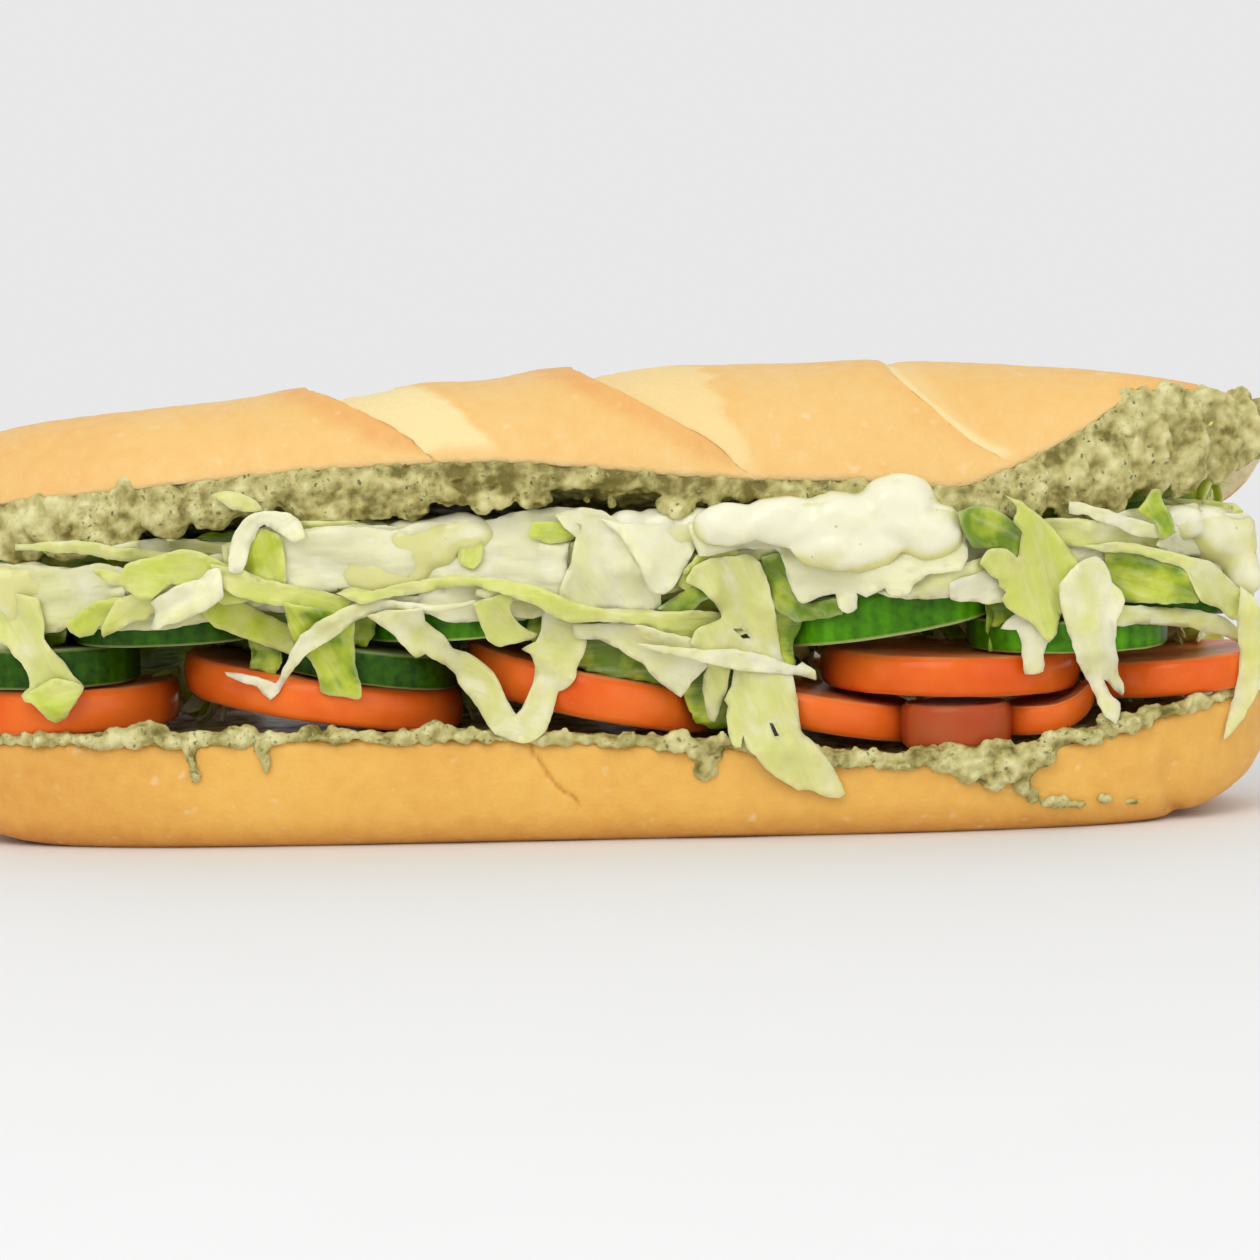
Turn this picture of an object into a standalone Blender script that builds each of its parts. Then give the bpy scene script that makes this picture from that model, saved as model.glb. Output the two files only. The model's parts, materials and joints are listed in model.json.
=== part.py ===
"""Submarine sandwich: a split soft roll filled with herb spread, tomato, cucumber, lettuce and mayonnaise.

The roll lies along X, its open side faces -Y and it stands on the plane Z = 0.
Every size below is in millimetres; meshes are scaled to metres when they are made.
"""

import math
import random
from typing import NamedTuple

import bmesh
import bpy
from mathutils import Vector
from mathutils.bvhtree import BVHTree

MM = 0.001
CLEARANCE = 0.4

# Roll: two halves, cut right through; the upper half is raised at the front
ROLL_HALF_LENGTH = 132.0
ROLL_HALF_DEPTH = 37.0
PLAN_POWER = 4
END_POWER = 12
LOWER_SECTION_POWER = 3.0
UPPER_SECTION_POWER = 2.5
FLAT_FOOT = 0.9
CUT_SAG = 2.6

# Heights along the roll, each as (place along X, height)
LOWER_RIM_FRONT = ((-132, 20.5), (-93, 20.9), (-56, 21.0), (-18, 20.5), (27, 17.6), (57, 14.3),
                   (90, 16.7), (114, 22.4), (132, 24.0))
LOWER_RIM_BACK = 21.5
UPPER_EDGE_FRONT = ((-132, 65.0), (-112, 67.1), (-93, 68.6), (-56, 72.0), (-18, 73.0), (27, 68.7),
                    (57, 67.6), (68, 66.2), (76, 68.2), (92, 75.8), (105, 83.4), (132, 83.5))
UPPER_EDGE_BACK = ((-132, 45.0), (-60, 46.0), (80, 46.5), (117, 52.0), (132, 53.0))
UPPER_CREST = ((-132, 80.5), (-112, 81.3), (-56, 85.4), (-8, 88.2), (40, 89.2), (76, 88.3),
               (112, 85.8), (132, 84.5))
UPPER_TIP_LEFT = 60.0
UPPER_TIP_RIGHT = 72.0

# Slashes across the upper crust: a raised lip on the left, a lower pale band on the right
SLASH_LIP = 1.3
SLASH_DROP = 1.7
SLASH_LIP_REACH = 9.0
CREST_ANGLE = 1.2
SLASH_LAST_ANGLE = 2.3

# Faces round and along each half
LOWER_STATIONS = 34
LOWER_WALL_POINTS = 15
UPPER_STATIONS = 50
UPPER_DOME_POINTS = 16
CUT_FRACTIONS = (0.08, 0.36, 0.64, 0.92)

# Herb spread
LOWER_SPREAD_DEPTH = 1.3
SPREAD_STATIONS = 22
SPREAD_LIP = 0.9
SPREAD_LEAST = 0.25
SPREAD_END_GAP = 8.0
UPPER_SPREAD_LEAST = 1.2
SMALL_LUMP = 3.7

# Lettuce heap
LETTUCE_FLOOR = 32.5
LETTUCE_STATIONS = 26
LETTUCE_ROWS = 6
LETTUCE_MARGIN = 12.0
LETTUCE_LEAST = 0.8
LETTUCE_HALF_LENGTH = 119.0
LETTUCE_SETBACK = 4.0
POOL_SETBACK = 9.0
STRIP_THICKNESS = 1.3
STRIP_CLEARANCE = 0.7
BACK_STRIPS = 9
SEED = 11


class Slash(NamedTuple):
    """A cut across the crust, from its place on the crest to its place on the front edge."""
    crest_x: float
    front_x: float
    band_width: float


class Slice(NamedTuple):
    """A round slice: the middle of its body, its size, and its rise towards +X in degrees."""
    name: str
    x: float
    y: float
    z: float
    radius: float
    thickness: float
    lean: float


class Strip(NamedTuple):
    """A shred of lettuce, seen from the front as a path of (x, z) places with a width."""
    width: float
    path: tuple


class Blob(NamedTuple):
    """A rounded lump: its middle as seen from the front, and its half sizes along X, Y and Z."""
    x: float
    z: float
    half_x: float
    half_y: float
    half_z: float


SLASHES = (Slash(-54, -29, 24), Slash(-3, 31, 19), Slash(57, 80, 8))

TOMATOES = (
    Slice("tomato_1", -104.8, -6.0, 26.4, 23.8, 8.4, 0.0),
    Slice("tomato_2", -53.2, -9.0, 28.1, 27.3, 8.0, -9.0),
    Slice("tomato_3", -1, -12.0, 27.9, 24.5, 8.6, -12.0),
    Slice("tomato_4", 43.3, -14.0, 23.0, 19.0, 6.8, -11.0),
    Slice("tomato_5", 68.5, -10.5, 30.0, 25.5, 7.6, -1.5),
    Slice("tomato_6", 112.3, -7.0, 27.9, 18.0, 7.0, 4.0),
    Slice("tomato_7", 68.5, -27.0, 19.3, 8.6, 6.4, 0.0),
    Slice("tomato_8", 86, -19.0, 20.9, 10.0, 5.6, 4.0),
    Slice("tomato_back_1", -79, 23.0, 25.8, 12.0, 6.6, 0.0),
    Slice("tomato_back_2", -28, 23.5, 25.8, 12.5, 6.6, 0.0),
    Slice("tomato_back_3", 19, 22.5, 25.8, 13.5, 6.6, 0.0),
    Slice("tomato_back_4", 53, 25.0, 25.8, 12.3, 6.6, 0.0),
    Slice("tomato_back_5", 88, 23.0, 25.8, 12.3, 6.6, 0.0),
)

CUCUMBERS = (
    Slice("cucumber_1", -107, -12.0, 34.9, 18.5, 7.6, 0.0),
    Slice("cucumber_2", -82, -17.0, 42.9, 18.8, 7.2, 1.0),
    Slice("cucumber_3", -45, -18.0, 34.6, 17.8, 6.4, -9.0),
    Slice("cucumber_4", -27, -17.0, 42.7, 18.5, 7.0, 2.0),
    Slice("cucumber_5", 13, -9.0, 38.5, 19.5, 7.0, -2.0),
    Slice("cucumber_6", 56, -17.0, 42.9, 21.0, 9.0, 8.0),
    Slice("cucumber_7", 91, -15.0, 37.0, 19.5, 6.0, 0.0),
    Slice("cucumber_8", 106, -10.0, 43.9, 18.0, 5.6, -6.0),
    Slice("cucumber_back_1", -95, 19.5, 34.6, 12.5, 6.4, 3.0),
    Slice("cucumber_back_2", -60, 23.5, 36.9, 13.0, 5.6, -9.0),
    Slice("cucumber_back_3", -25, 24.8, 34.4, 12.2, 6.4, 2.0),
    Slice("cucumber_back_4", 9.5, 24.8, 34.6, 13.0, 6.4, 0.0),
    Slice("cucumber_back_5", 42, 20.5, 37.9, 16.0, 6.0, -1.0),
    Slice("cucumber_back_6", 80, 20.5, 37.2, 16.0, 6.0, 1.0),
)

# Shreds at the open front, left to right
FRONT_STRIPS = (
    Strip(6.6, ((-108, 45), (-106.6, 39), (-103.6, 31.5), (-103.2, 26))),
    Strip(2.4, ((-84, 55.6), (-91.5, 48.2), (-99.1, 43.7))),
    Strip(2.8, ((-94.3, 53), (-84, 54.3), (-74, 57.2), (-63.2, 51.8), (-50, 47), (-38, 43.4))),
    Strip(6.4, ((-68.9, 53.5), (-74.5, 47.8), (-82.6, 44))),
    Strip(2.9, ((-75.5, 47.8), (-67, 42.4), (-57.5, 38.9))),
    Strip(7.4, ((-54.7, 48), (-50.9, 37.9), (-48.6, 30))),
    Strip(2.8, ((-31.1, 48.2), (-40.6, 46.5), (-50, 43.1), (-56.6, 37), (-61.3, 30.5))),
    Strip(2.4, ((-45.5, 49.6), (-35.5, 50.4), (-25.5, 50.4), (-15.3, 49.4), (-4.7, 46.2), (8.5, 43.7))),
    Strip(5.6, ((-40.6, 48), (-31.1, 38.3), (-23.4, 29.7), (-16.4, 22.6))),
    Strip(5.2, ((-6.6, 48.5), (-6.2, 38.7), (-9.4, 29.4), (-14.8, 22.6))),
    Strip(4.2, ((-21.3, 49), (-20.4, 41.5), (-15.6, 39.4), (-10, 41))),
    Strip(2.9, ((-2.6, 44), (10.4, 40.4), (21.7, 37), (31.1, 34.2), (41.3, 31.8))),
    Strip(5.6, ((0, 44), (8.5, 36.4), (16, 30.4))),
    Strip(4.2, ((22.6, 46), (22.1, 30.6), (22.1, 23.4))),
    Strip(10.0, ((27, 53.1), (29.2, 41.7), (31.5, 32.2), (33.6, 22.7), (38.7, 14.6), (44.6, 9.4))),
    Strip(5.6, ((-16.2, 60), (-7.7, 61.5), (-0.9, 60), (4, 54.5), (6.4, 47.9))),
    Strip(2.7, ((-67.5, 53), (-66.4, 57.5), (-62.3, 59.6), (-58.7, 59.6), (-55.1, 56.6))),
    Strip(2.6, ((-73, 61.4), (-67, 61.6), (-61.7, 60))),
    Strip(7.0, ((80.4, 60.4), (85.8, 53.5), (91.0, 44.1), (95.0, 33), (97.6, 23.4))),
    Strip(4.0, ((75.5, 58), (79.2, 48.1), (82.1, 38.6), (83, 31.4))),
    Strip(2.6, ((87, 57.4), (100.6, 54.2), (111.6, 50.6), (117.4, 44), (119.4, 37.5))),
    Strip(3.4, ((99, 47), (107.4, 42), (114.6, 38.4))),
    Strip(3.4, ((120.6, 46.6), (121.4, 40), (121.2, 31), (119.0, 22), (117.2, 17))),
    Strip(3.2, ((104.7, 56), (106.2, 59.4), (106.6, 62.4))),
)

# Lumps and runs of spread that hang over the lower rim, left to right
LOWER_RIM_BLOBS = (
    Blob(-93.5, 21.6, 4.2, 1.6, 1.3), Blob(-85.5, 22.0, 4.0, 1.7, 1.5), Blob(-77.0, 19.0, 1.6, 1.4, 3.6),
    Blob(-76.4, 13.6, 1.1, 1.0, 2.6), Blob(-63.0, 19.4, 1.4, 1.3, 3.2), Blob(-62.4, 14.4, 1.0, 0.9, 2.4),
    Blob(-40.0, 21.2, 4.4, 1.4, 1.1), Blob(-8.0, 20.0, 4.0, 1.4, 1.1), Blob(21.0, 17.2, 3.6, 1.6, 2.0),
    Blob(20.4, 13.4, 2.6, 1.2, 2.2),
)
OVERFLOW_BLOBS = (
    Blob(67.0, 14.0, 4.0, 1.8, 2.4), Blob(73.0, 12.4, 4.6, 2.2, 3.6), Blob(79.0, 13.6, 4.6, 2.2, 3.6),
    Blob(84.0, 15.4, 3.8, 1.8, 2.6), Blob(81.4, 9.6, 2.0, 1.3, 3.0), Blob(83.0, 6.0, 1.9, 1.1, 2.2),
    Blob(91.0, 17.8, 4.4, 1.6, 1.4), Blob(99.5, 20.6, 4.6, 1.5, 1.4),
)

# Lumps along the upper crust's edge: place along the roll, height under the edge, and half sizes
UPPER_EDGE_LUMPS = (
    Blob(-104.7, -0.6, 2.2, 1.7, 2.2), Blob(-88.3, -0.4, 2.3, 1.8, 2.4), Blob(-112.0, -4.0, 4.6, 2.0, 3.0),
    Blob(-97.0, -5.0, 5.0, 2.0, 3.0), Blob(-80.0, -4.4, 5.2, 2.0, 2.8), Blob(-64.0, -3.6, 4.6, 1.8, 2.6),
    Blob(-46.0, -4.0, 4.8, 1.8, 2.6), Blob(-30.5, -4.6, 4.6, 2.2, 3.0), Blob(-22.0, -4.8, 3.4, 2.4, 3.0),
    Blob(16.0, -4.0, 3.6, 1.8, 2.2), Blob(82.0, -3.4, 4.0, 2.4, 3.2), Blob(91.0, -7.0, 5.0, 2.4, 4.0),
    Blob(101.0, -9.0, 5.4, 2.6, 4.4), Blob(111.0, -8.6, 5.4, 2.6, 4.4), Blob(119.0, -9.0, 3.6, 2.2, 3.6),
)

# Mayonnaise: each pool is a union of rounded lumps
MAYONNAISE = {
    "mayonnaise_1": (Blob(-44, 57.3, 13, 4.5, 4.0), Blob(-32, 57.0, 9, 4.2, 3.6), Blob(-54, 57.8, 6, 3.6, 3.2)),
    "mayonnaise_2": (Blob(13, 57.0, 7.5, 4.2, 4.6), Blob(20, 57.5, 5.5, 4.0, 4.0), Blob(9, 53.2, 3.0, 3.2, 3.4)),
    "mayonnaise_3": (Blob(40, 57.0, 13, 5.0, 4.4), Blob(56, 57.0, 12, 6.0, 5.4), Blob(62, 60.6, 7.5, 5.0, 6.0),
                     Blob(47, 54.0, 8.0, 4.6, 4.6)),
    "mayonnaise_4": (Blob(112, 55.0, 5.4, 4.4, 4.6), Blob(117, 53.0, 4.6, 4.2, 4.4)),
    "mayonnaise_5": (Blob(-110, 52.5, 6.0, 4.2, 4.0), Blob(-104, 53.0, 4.6, 3.8, 3.2)),
}


def smooth(table: tuple, x: float) -> float:
    """Read a height from a table of (place, height) along a smooth curve through its points."""
    if x <= table[0][0]:
        return table[0][1]
    for index in range(len(table) - 1):
        left, right = table[index], table[index + 1]
        if x <= right[0]:
            before = table[max(index - 1, 0)]
            after = table[min(index + 2, len(table) - 1)]
            span = right[0] - left[0]
            rise_left = (right[1] - before[1]) / (right[0] - before[0]) * span
            rise_right = (after[1] - left[1]) / (after[0] - left[0]) * span
            t = (x - left[0]) / span
            return ((2 * t ** 3 - 3 * t ** 2 + 1) * left[1] + (t ** 3 - 2 * t ** 2 + t) * rise_left
                    + (3 * t ** 2 - 2 * t ** 3) * right[1] + (t ** 3 - t ** 2) * rise_right)
    return table[-1][1]


def ease(t: float) -> float:
    """Go from 0 to 1 smoothly as t does, and stay there."""
    t = min(max(t, 0.0), 1.0)
    return t * t * (3 - 2 * t)


def end_taper(x: float, power: float) -> float:
    """Return 1 along the roll, falling to 0 at its two tips."""
    return math.sqrt(max(0.0, 1 - abs(x / ROLL_HALF_LENGTH) ** power))


def half_width(x: float) -> float:
    """Half of the roll's depth at a place along it."""
    return ROLL_HALF_DEPTH * end_taper(x, PLAN_POWER)


def stations(count: int) -> list:
    """Places along the roll, closer together towards the rounded tips."""
    return [ROLL_HALF_LENGTH * math.sin(math.pi * (step / count - 0.5)) * 0.6
            + ROLL_HALF_LENGTH * (2 * step / count - 1) * 0.4 for step in range(1, count)]


def across(y: float, x: float) -> float:
    """Fraction of the way from the front rim to the back rim."""
    return min(max(0.5 + y / (2 * half_width(x)), 0.0), 1.0)


def lower_rim(x: float, y: float) -> float:
    """Height of the lower half's rim, before its cut face sags."""
    t = across(y, x)
    return smooth(LOWER_RIM_FRONT, x) * (1 - t) + LOWER_RIM_BACK * t


def lower_cut(x: float, y: float) -> float:
    """Height of the lower half's cut face, pressed down by the filling."""
    t = across(y, x)
    return lower_rim(x, y) - CUT_SAG * ease(8 * t * (1 - t)) * end_taper(x, END_POWER)


def upper_edge(x: float, inner: float) -> float:
    """Bring a height on the upper half to its tip's height at the roll's ends."""
    tip = UPPER_TIP_LEFT if x < 0 else UPPER_TIP_RIGHT
    return tip + (inner - tip) * end_taper(x, END_POWER)


def upper_cut(x: float, y: float) -> float:
    """Height of the upper half's underside."""
    t = across(y, x)
    front = upper_edge(x, smooth(UPPER_EDGE_FRONT, x))
    back = upper_edge(x, smooth(UPPER_EDGE_BACK, x))
    return front * (1 - t) + back * t


def slash_relief(x: float, angle: float) -> float:
    """Height of the slashes' lips and bands over the crust, at an angle round the dome."""
    height = 0.0
    for slash in SLASHES:
        rise = angle / CREST_ANGLE
        beyond = x - (slash.front_x + (slash.crest_x - slash.front_x) * rise)
        fade = ease(angle / 0.25) * ease((SLASH_LAST_ANGLE - angle) / 0.5)
        if beyond < 0:
            height += fade * SLASH_LIP * math.exp(-(beyond / SLASH_LIP_REACH) ** 2)
        else:
            band = 3.0 + slash.band_width * min(rise, 1.0)
            height -= fade * SLASH_DROP * (1 - ease(beyond / band))
    return height


def add_object(name: str, vertices: list, faces: list, material: bpy.types.Material) -> bpy.types.Object:
    """Make an object from points in millimetres."""
    mesh = bpy.data.meshes.new(name)
    mesh.from_pydata([Vector(point) * MM for point in vertices], [], faces)
    mesh.validate()
    mesh.materials.append(material)
    made = bpy.data.objects.new(name, mesh)
    bpy.context.scene.collection.objects.link(made)
    return made


def loft(rings: list, start: tuple, end: tuple) -> tuple:
    """Join rings of points into a closed skin with a pole at each end."""
    count = len(rings[0])
    vertices = [point for ring in rings for point in ring] + [start, end]
    first_pole, last_pole = len(vertices) - 2, len(vertices) - 1
    faces = []
    for index in range(len(rings) - 1):
        for step in range(count):
            a = index * count + step
            b = index * count + (step + 1) % count
            faces.append((a, b, b + count, a + count))
    last = (len(rings) - 1) * count
    for step in range(count):
        beside = (step + 1) % count
        faces.append((beside, step, first_pole))
        faces.append((last + step, last + beside, last_pole))
    return vertices, faces


def face_outwards(target: bpy.types.Object) -> None:
    """Turn every face of a closed mesh to point out, and cut the faces into triangles."""
    work = bmesh.new()
    work.from_mesh(target.data)
    bmesh.ops.recalc_face_normals(work, faces=work.faces)
    bmesh.ops.triangulate(work, faces=work.faces)
    work.to_mesh(target.data)
    work.free()


def build_lower_half(material: bpy.types.Material) -> bpy.types.Object:
    """The lower half of the roll: a flat foot, a round wall and a sagging cut face."""
    rings = []
    for x in stations(LOWER_STATIONS):
        width = half_width(x)
        ring = []
        for step in range(LOWER_WALL_POINTS + 1):
            angle = math.pi * step / LOWER_WALL_POINTS
            y = -width * math.copysign(abs(math.cos(angle)) ** (2 / LOWER_SECTION_POWER), math.cos(angle))
            rim = lower_rim(x, y)
            depth = end_taper(x, END_POWER) * math.sin(angle) ** (2 / LOWER_SECTION_POWER)
            z = max(0.0, (rim * (1 - depth) - FLAT_FOOT) * rim / (rim - FLAT_FOOT))
            ring.append((x, y, z))
        for fraction in CUT_FRACTIONS:
            y = width * (1 - 2 * fraction)
            ring.append((x, y, lower_cut(x, y)))
        rings.append(ring)
    tips = [(side * ROLL_HALF_LENGTH, 0, lower_rim(side * (ROLL_HALF_LENGTH - 1), 0) - 1) for side in (-1, 1)]
    half = add_object("bread_bottom", *loft(rings, *tips), material)
    face_outwards(half)
    return half


def dome_height(x: float, front: float, back: float, width: float) -> float:
    """Height of the dome over its sloping chord that puts its highest point on the crest line."""
    power = UPPER_SECTION_POWER / (UPPER_SECTION_POWER - 1)
    crest = upper_edge(x, smooth(UPPER_CREST, x))
    drop = (front - back) / 2
    slope = math.cos(math.atan2(drop, width))
    over = max(crest - (front + back) / 2, abs(drop) + 0.5)
    return max((over ** power - abs(drop) ** power) ** (1 / power) / slope, 6.0 * end_taper(x, PLAN_POWER))


def upper_ring(x: float) -> list:
    """One section of the upper half: the dome from the front edge to the back, then the cut face."""
    width = half_width(x)
    front, back = upper_cut(x, -width), upper_cut(x, width)
    height = dome_height(x, front, back, width)
    tilt = math.atan2(front - back, 2 * width)
    chord = math.hypot(front - back, 2 * width) / 2
    middle = (front + back) / 2
    ring = []
    for step in range(UPPER_DOME_POINTS + 1):
        angle = math.pi * step / UPPER_DOME_POINTS
        along = -chord * math.copysign(abs(math.cos(angle)) ** (2 / UPPER_SECTION_POWER), math.cos(angle))
        up = height * math.sin(angle) ** (2 / UPPER_SECTION_POWER)
        up += slash_relief(x, angle) * min(1.0, up / 4)
        ring.append((x, along * math.cos(tilt) + up * math.sin(tilt),
                     middle - along * math.sin(tilt) + up * math.cos(tilt)))
    for fraction in CUT_FRACTIONS:
        y = width * (1 - 2 * fraction)
        ring.append((x, y, upper_cut(x, y)))
    return ring


def build_upper_half(material: bpy.types.Material) -> bpy.types.Object:
    """The upper half of the roll: a slashed dome over a flat cut face, tilted towards the back."""
    rings = [upper_ring(x) for x in stations(UPPER_STATIONS)]
    tips = [(-ROLL_HALF_LENGTH, 0, UPPER_TIP_LEFT), (ROLL_HALF_LENGTH, 0, UPPER_TIP_RIGHT)]
    half = add_object("bread_top", *loft(rings, *tips), material)
    face_outwards(half)
    return half


def slice_face(cut: Slice, x: float, side: int) -> float:
    """Height of a slice's upper (side 1) or lower (side -1) face, carried on past its edge."""
    lean = math.radians(cut.lean)
    return cut.z + (x - cut.x) * math.tan(lean) + side * cut.thickness / 2 / math.cos(lean)


def build_slice(cut: Slice, sides: int, bulge: float, material: bpy.types.Material) -> bpy.types.Object:
    """A round slice whose skin bulges by a share of its radius halfway up."""
    levels = (-0.5, 0.0, 0.5) if bulge else (-0.5, 0.5)
    vertices, faces = [], []
    for level in levels:
        radius = cut.radius * (1 if level == 0 or not bulge else 1 - bulge)
        for step in range(sides):
            angle = 2 * math.pi * step / sides
            x, y = cut.x + radius * math.cos(angle), cut.y + radius * math.sin(angle)
            low, high = slice_face(cut, x, -1), slice_face(cut, x, 1)
            vertices.append((x, y, low + (high - low) * (level + 0.5)))
    for row in range(len(levels) - 1):
        for step in range(sides):
            a, b = row * sides + step, row * sides + (step + 1) % sides
            faces.append((a, b, b + sides, a + sides))
    faces.append(tuple(reversed(range(sides))))
    faces.append(tuple(range((len(levels) - 1) * sides, len(levels) * sides)))
    made = add_object(cut.name, vertices, faces, material)
    face_outwards(made)
    return made


def under_slices(x: float, y: float, margin: float, highest: float) -> float:
    """The highest place under every slice near a point, up to a limit."""
    for cut in TOMATOES + CUCUMBERS:
        if math.hypot(x - cut.x, y - cut.y) < cut.radius + margin:
            highest = min(highest, slice_face(cut, x, -1) - CLEARANCE)
    return highest


def over_slices(x: float, y: float, margin: float, lowest: float) -> float:
    """The lowest place over every slice near a point, down to a limit."""
    for cut in TOMATOES + CUCUMBERS:
        if math.hypot(x - cut.x, y - cut.y) < cut.radius + margin:
            lowest = max(lowest, slice_face(cut, x, 1) + 2 * CLEARANCE)
    return lowest


def slab(name: str, columns: list, material: bpy.types.Material) -> bpy.types.Object:
    """A closed layer from a grid of columns, each (x, y, low, high), row by row."""
    rows, count = len(columns), len(columns[0])
    vertices = [(x, y, low) for row in columns for x, y, low, high in row]
    vertices += [(x, y, high) for row in columns for x, y, low, high in row]
    top = rows * count
    faces = []
    for row in range(rows - 1):
        for step in range(count - 1):
            a = row * count + step
            faces.append((a, a + count, a + count + 1, a + 1))
            faces.append((top + a, top + a + 1, top + a + count + 1, top + a + count))
    border = [step for step in range(count)]
    border += [row * count + count - 1 for row in range(1, rows)]
    border += [(rows - 1) * count + step for step in range(count - 2, -1, -1)]
    border += [row * count for row in range(rows - 2, 0, -1)]
    for a, b in zip(border, border[1:] + border[:1]):
        faces.append((a, b, top + b, top + a))
    made = add_object(name, vertices, faces, material)
    face_outwards(made)
    return made


def build_ball(name: str, centre: tuple, halves: tuple, material: bpy.types.Material) -> bpy.types.Object:
    """A rounded lump with few sides, made from an icosphere."""
    work = bmesh.new()
    bmesh.ops.create_icosphere(work, subdivisions=1 if max(halves) < SMALL_LUMP else 2, radius=1.0)
    for vertex in work.verts:
        vertex.co = Vector([(c + v * h) * MM for c, v, h in zip(centre, vertex.co, halves)])
    mesh = bpy.data.meshes.new(name)
    work.to_mesh(mesh)
    work.free()
    mesh.materials.append(material)
    made = bpy.data.objects.new(name, mesh)
    bpy.context.scene.collection.objects.link(made)
    return made


def keep_main_body(target: bpy.types.Object) -> None:
    """Keep the largest connected skin, which drops loose scraps and fills sealed hollows."""
    work = bmesh.new()
    work.from_mesh(target.data)
    unseen = set(work.faces)
    bodies = []
    while unseen:
        front = [unseen.pop()]
        body = list(front)
        while front:
            face = front.pop()
            for edge in face.edges:
                for other in edge.link_faces:
                    if other in unseen:
                        unseen.remove(other)
                        front.append(other)
                        body.append(other)
        bodies.append(body)
    bodies.sort(key=lambda body: sum(face.calc_area() for face in body))
    for body in bodies[:-1]:
        bmesh.ops.delete(work, geom=body, context='FACES')
    bmesh.ops.triangulate(work, faces=work.faces)
    work.to_mesh(target.data)
    work.free()


def fuse(core: bpy.types.Object, pieces: list) -> bpy.types.Object:
    """Join pieces to a core with one Boolean union, and remove the pieces."""
    group = bpy.data.collections.new(core.name + "_pieces")
    for piece in pieces:
        group.objects.link(piece)
    union = core.modifiers.new("fused", 'BOOLEAN')
    union.operation = 'UNION'
    union.operand_type = 'COLLECTION'
    union.collection = group
    union.solver = 'MANIFOLD'
    depsgraph = bpy.context.evaluated_depsgraph_get()
    joined = bpy.data.meshes.new_from_object(core.evaluated_get(depsgraph))
    core.modifiers.remove(union)
    core.data = joined
    for piece in pieces:
        bpy.data.objects.remove(piece)
    bpy.data.collections.remove(group)
    keep_main_body(core)
    return core


def skin_tree(target: bpy.types.Object) -> BVHTree:
    """A search tree over an object's faces."""
    return BVHTree.FromPolygons([vertex.co for vertex in target.data.vertices],
                                [tuple(face.vertices) for face in target.data.polygons])


def clear_of(piece: bpy.types.Object, neighbours: dict, push: Vector, tries: int) -> bool:
    """Push a piece out step by step until it crosses none of its neighbours."""
    for _ in range(tries):
        tree = skin_tree(piece)
        touched = [name for name, other in neighbours.items() if tree.overlap(other)]
        if not touched:
            return True
        for vertex in piece.data.vertices:
            vertex.co += push * MM
    print(piece.name, "touches", touched)
    return False


def build_lower_spread(material: bpy.types.Material, neighbours: dict) -> bpy.types.Object:
    """Herb spread on the lower cut face, with the lumps and runs that hang over the rim."""
    columns = []
    for t in (0, *CUT_FRACTIONS):
        row = []
        for step in range(SPREAD_STATIONS + 1):
            x = (ROLL_HALF_LENGTH - SPREAD_END_GAP) * (2 * step / SPREAD_STATIONS - 1)
            y = half_width(x) * (2 * t - 1) - (SPREAD_LIP if t == 0 else 0)
            low = lower_cut(x, y) + 1.5 * CLEARANCE
            high = under_slices(x, y, LETTUCE_MARGIN, low + LOWER_SPREAD_DEPTH + 0.8 * (1 - t))
            row.append((x, y, low, max(high, low + SPREAD_LEAST)))
        columns.append(row)
    core = slab("spread_bottom", columns, material)
    lumps = []
    for blob in LOWER_RIM_BLOBS + OVERFLOW_BLOBS:
        y = -half_width(blob.x) - 0.2
        lump = build_ball("lump", (blob.x, y, blob.z), (blob.half_x, blob.half_y, blob.half_z), material)
        if clear_of(lump, neighbours, Vector((0, -0.3, 0)), 16):
            lumps.append(lump)
        else:
            bpy.data.objects.remove(lump)
    return fuse(core, lumps)


def upper_spread_depth(x: float, t: float) -> float:
    """Thickness of the spread under the upper half, from the front edge (t = 0) to the back."""
    front = 3.6 + 1.6 * ease((-x - 50) / 50) + 1.4 * ease((x - 70) / 30)
    waves = 0.5 * math.sin(0.13 * x + 3 * t)
    return front * (1 - t) + 1.6 * t + waves * end_taper(x, PLAN_POWER)


def build_upper_spread(material: bpy.types.Material, neighbours: dict) -> bpy.types.Object:
    """Herb spread under the upper half, with the lumps along the crust's edge."""
    columns = []
    for t in (0, *CUT_FRACTIONS):
        row = []
        for step in range(SPREAD_STATIONS + 1):
            x = (ROLL_HALF_LENGTH - SPREAD_END_GAP) * (2 * step / SPREAD_STATIONS - 1)
            y = half_width(x) * (2 * t - 1) - (SPREAD_LIP if t == 0 else 0)
            high = upper_cut(x, y) - 1.5 * CLEARANCE
            row.append((x, y, high - max(UPPER_SPREAD_LEAST, upper_spread_depth(x, t)), high))
        columns.append(row)
    core = slab("spread_top", columns, material)
    lumps = []
    for blob in UPPER_EDGE_LUMPS:
        width = half_width(blob.x)
        z = upper_cut(blob.x, -width) + blob.z
        lump = build_ball("lump", (blob.x, -width, z), (blob.half_x, blob.half_y, blob.half_z), material)
        if clear_of(lump, neighbours, Vector((0, -0.3, -0.1)), 16):
            lumps.append(lump)
        else:
            bpy.data.objects.remove(lump)
    return fuse(core, lumps)


def in_pool(x: float) -> float:
    """How much mayonnaise lies at the front at a place along the roll, from 0 to 1."""
    most = 0.0
    for pool in MAYONNAISE.values():
        for blob in pool:
            most = max(most, 1 - ease((abs(x - blob.x) - blob.half_x) / 5))
    return most


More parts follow.
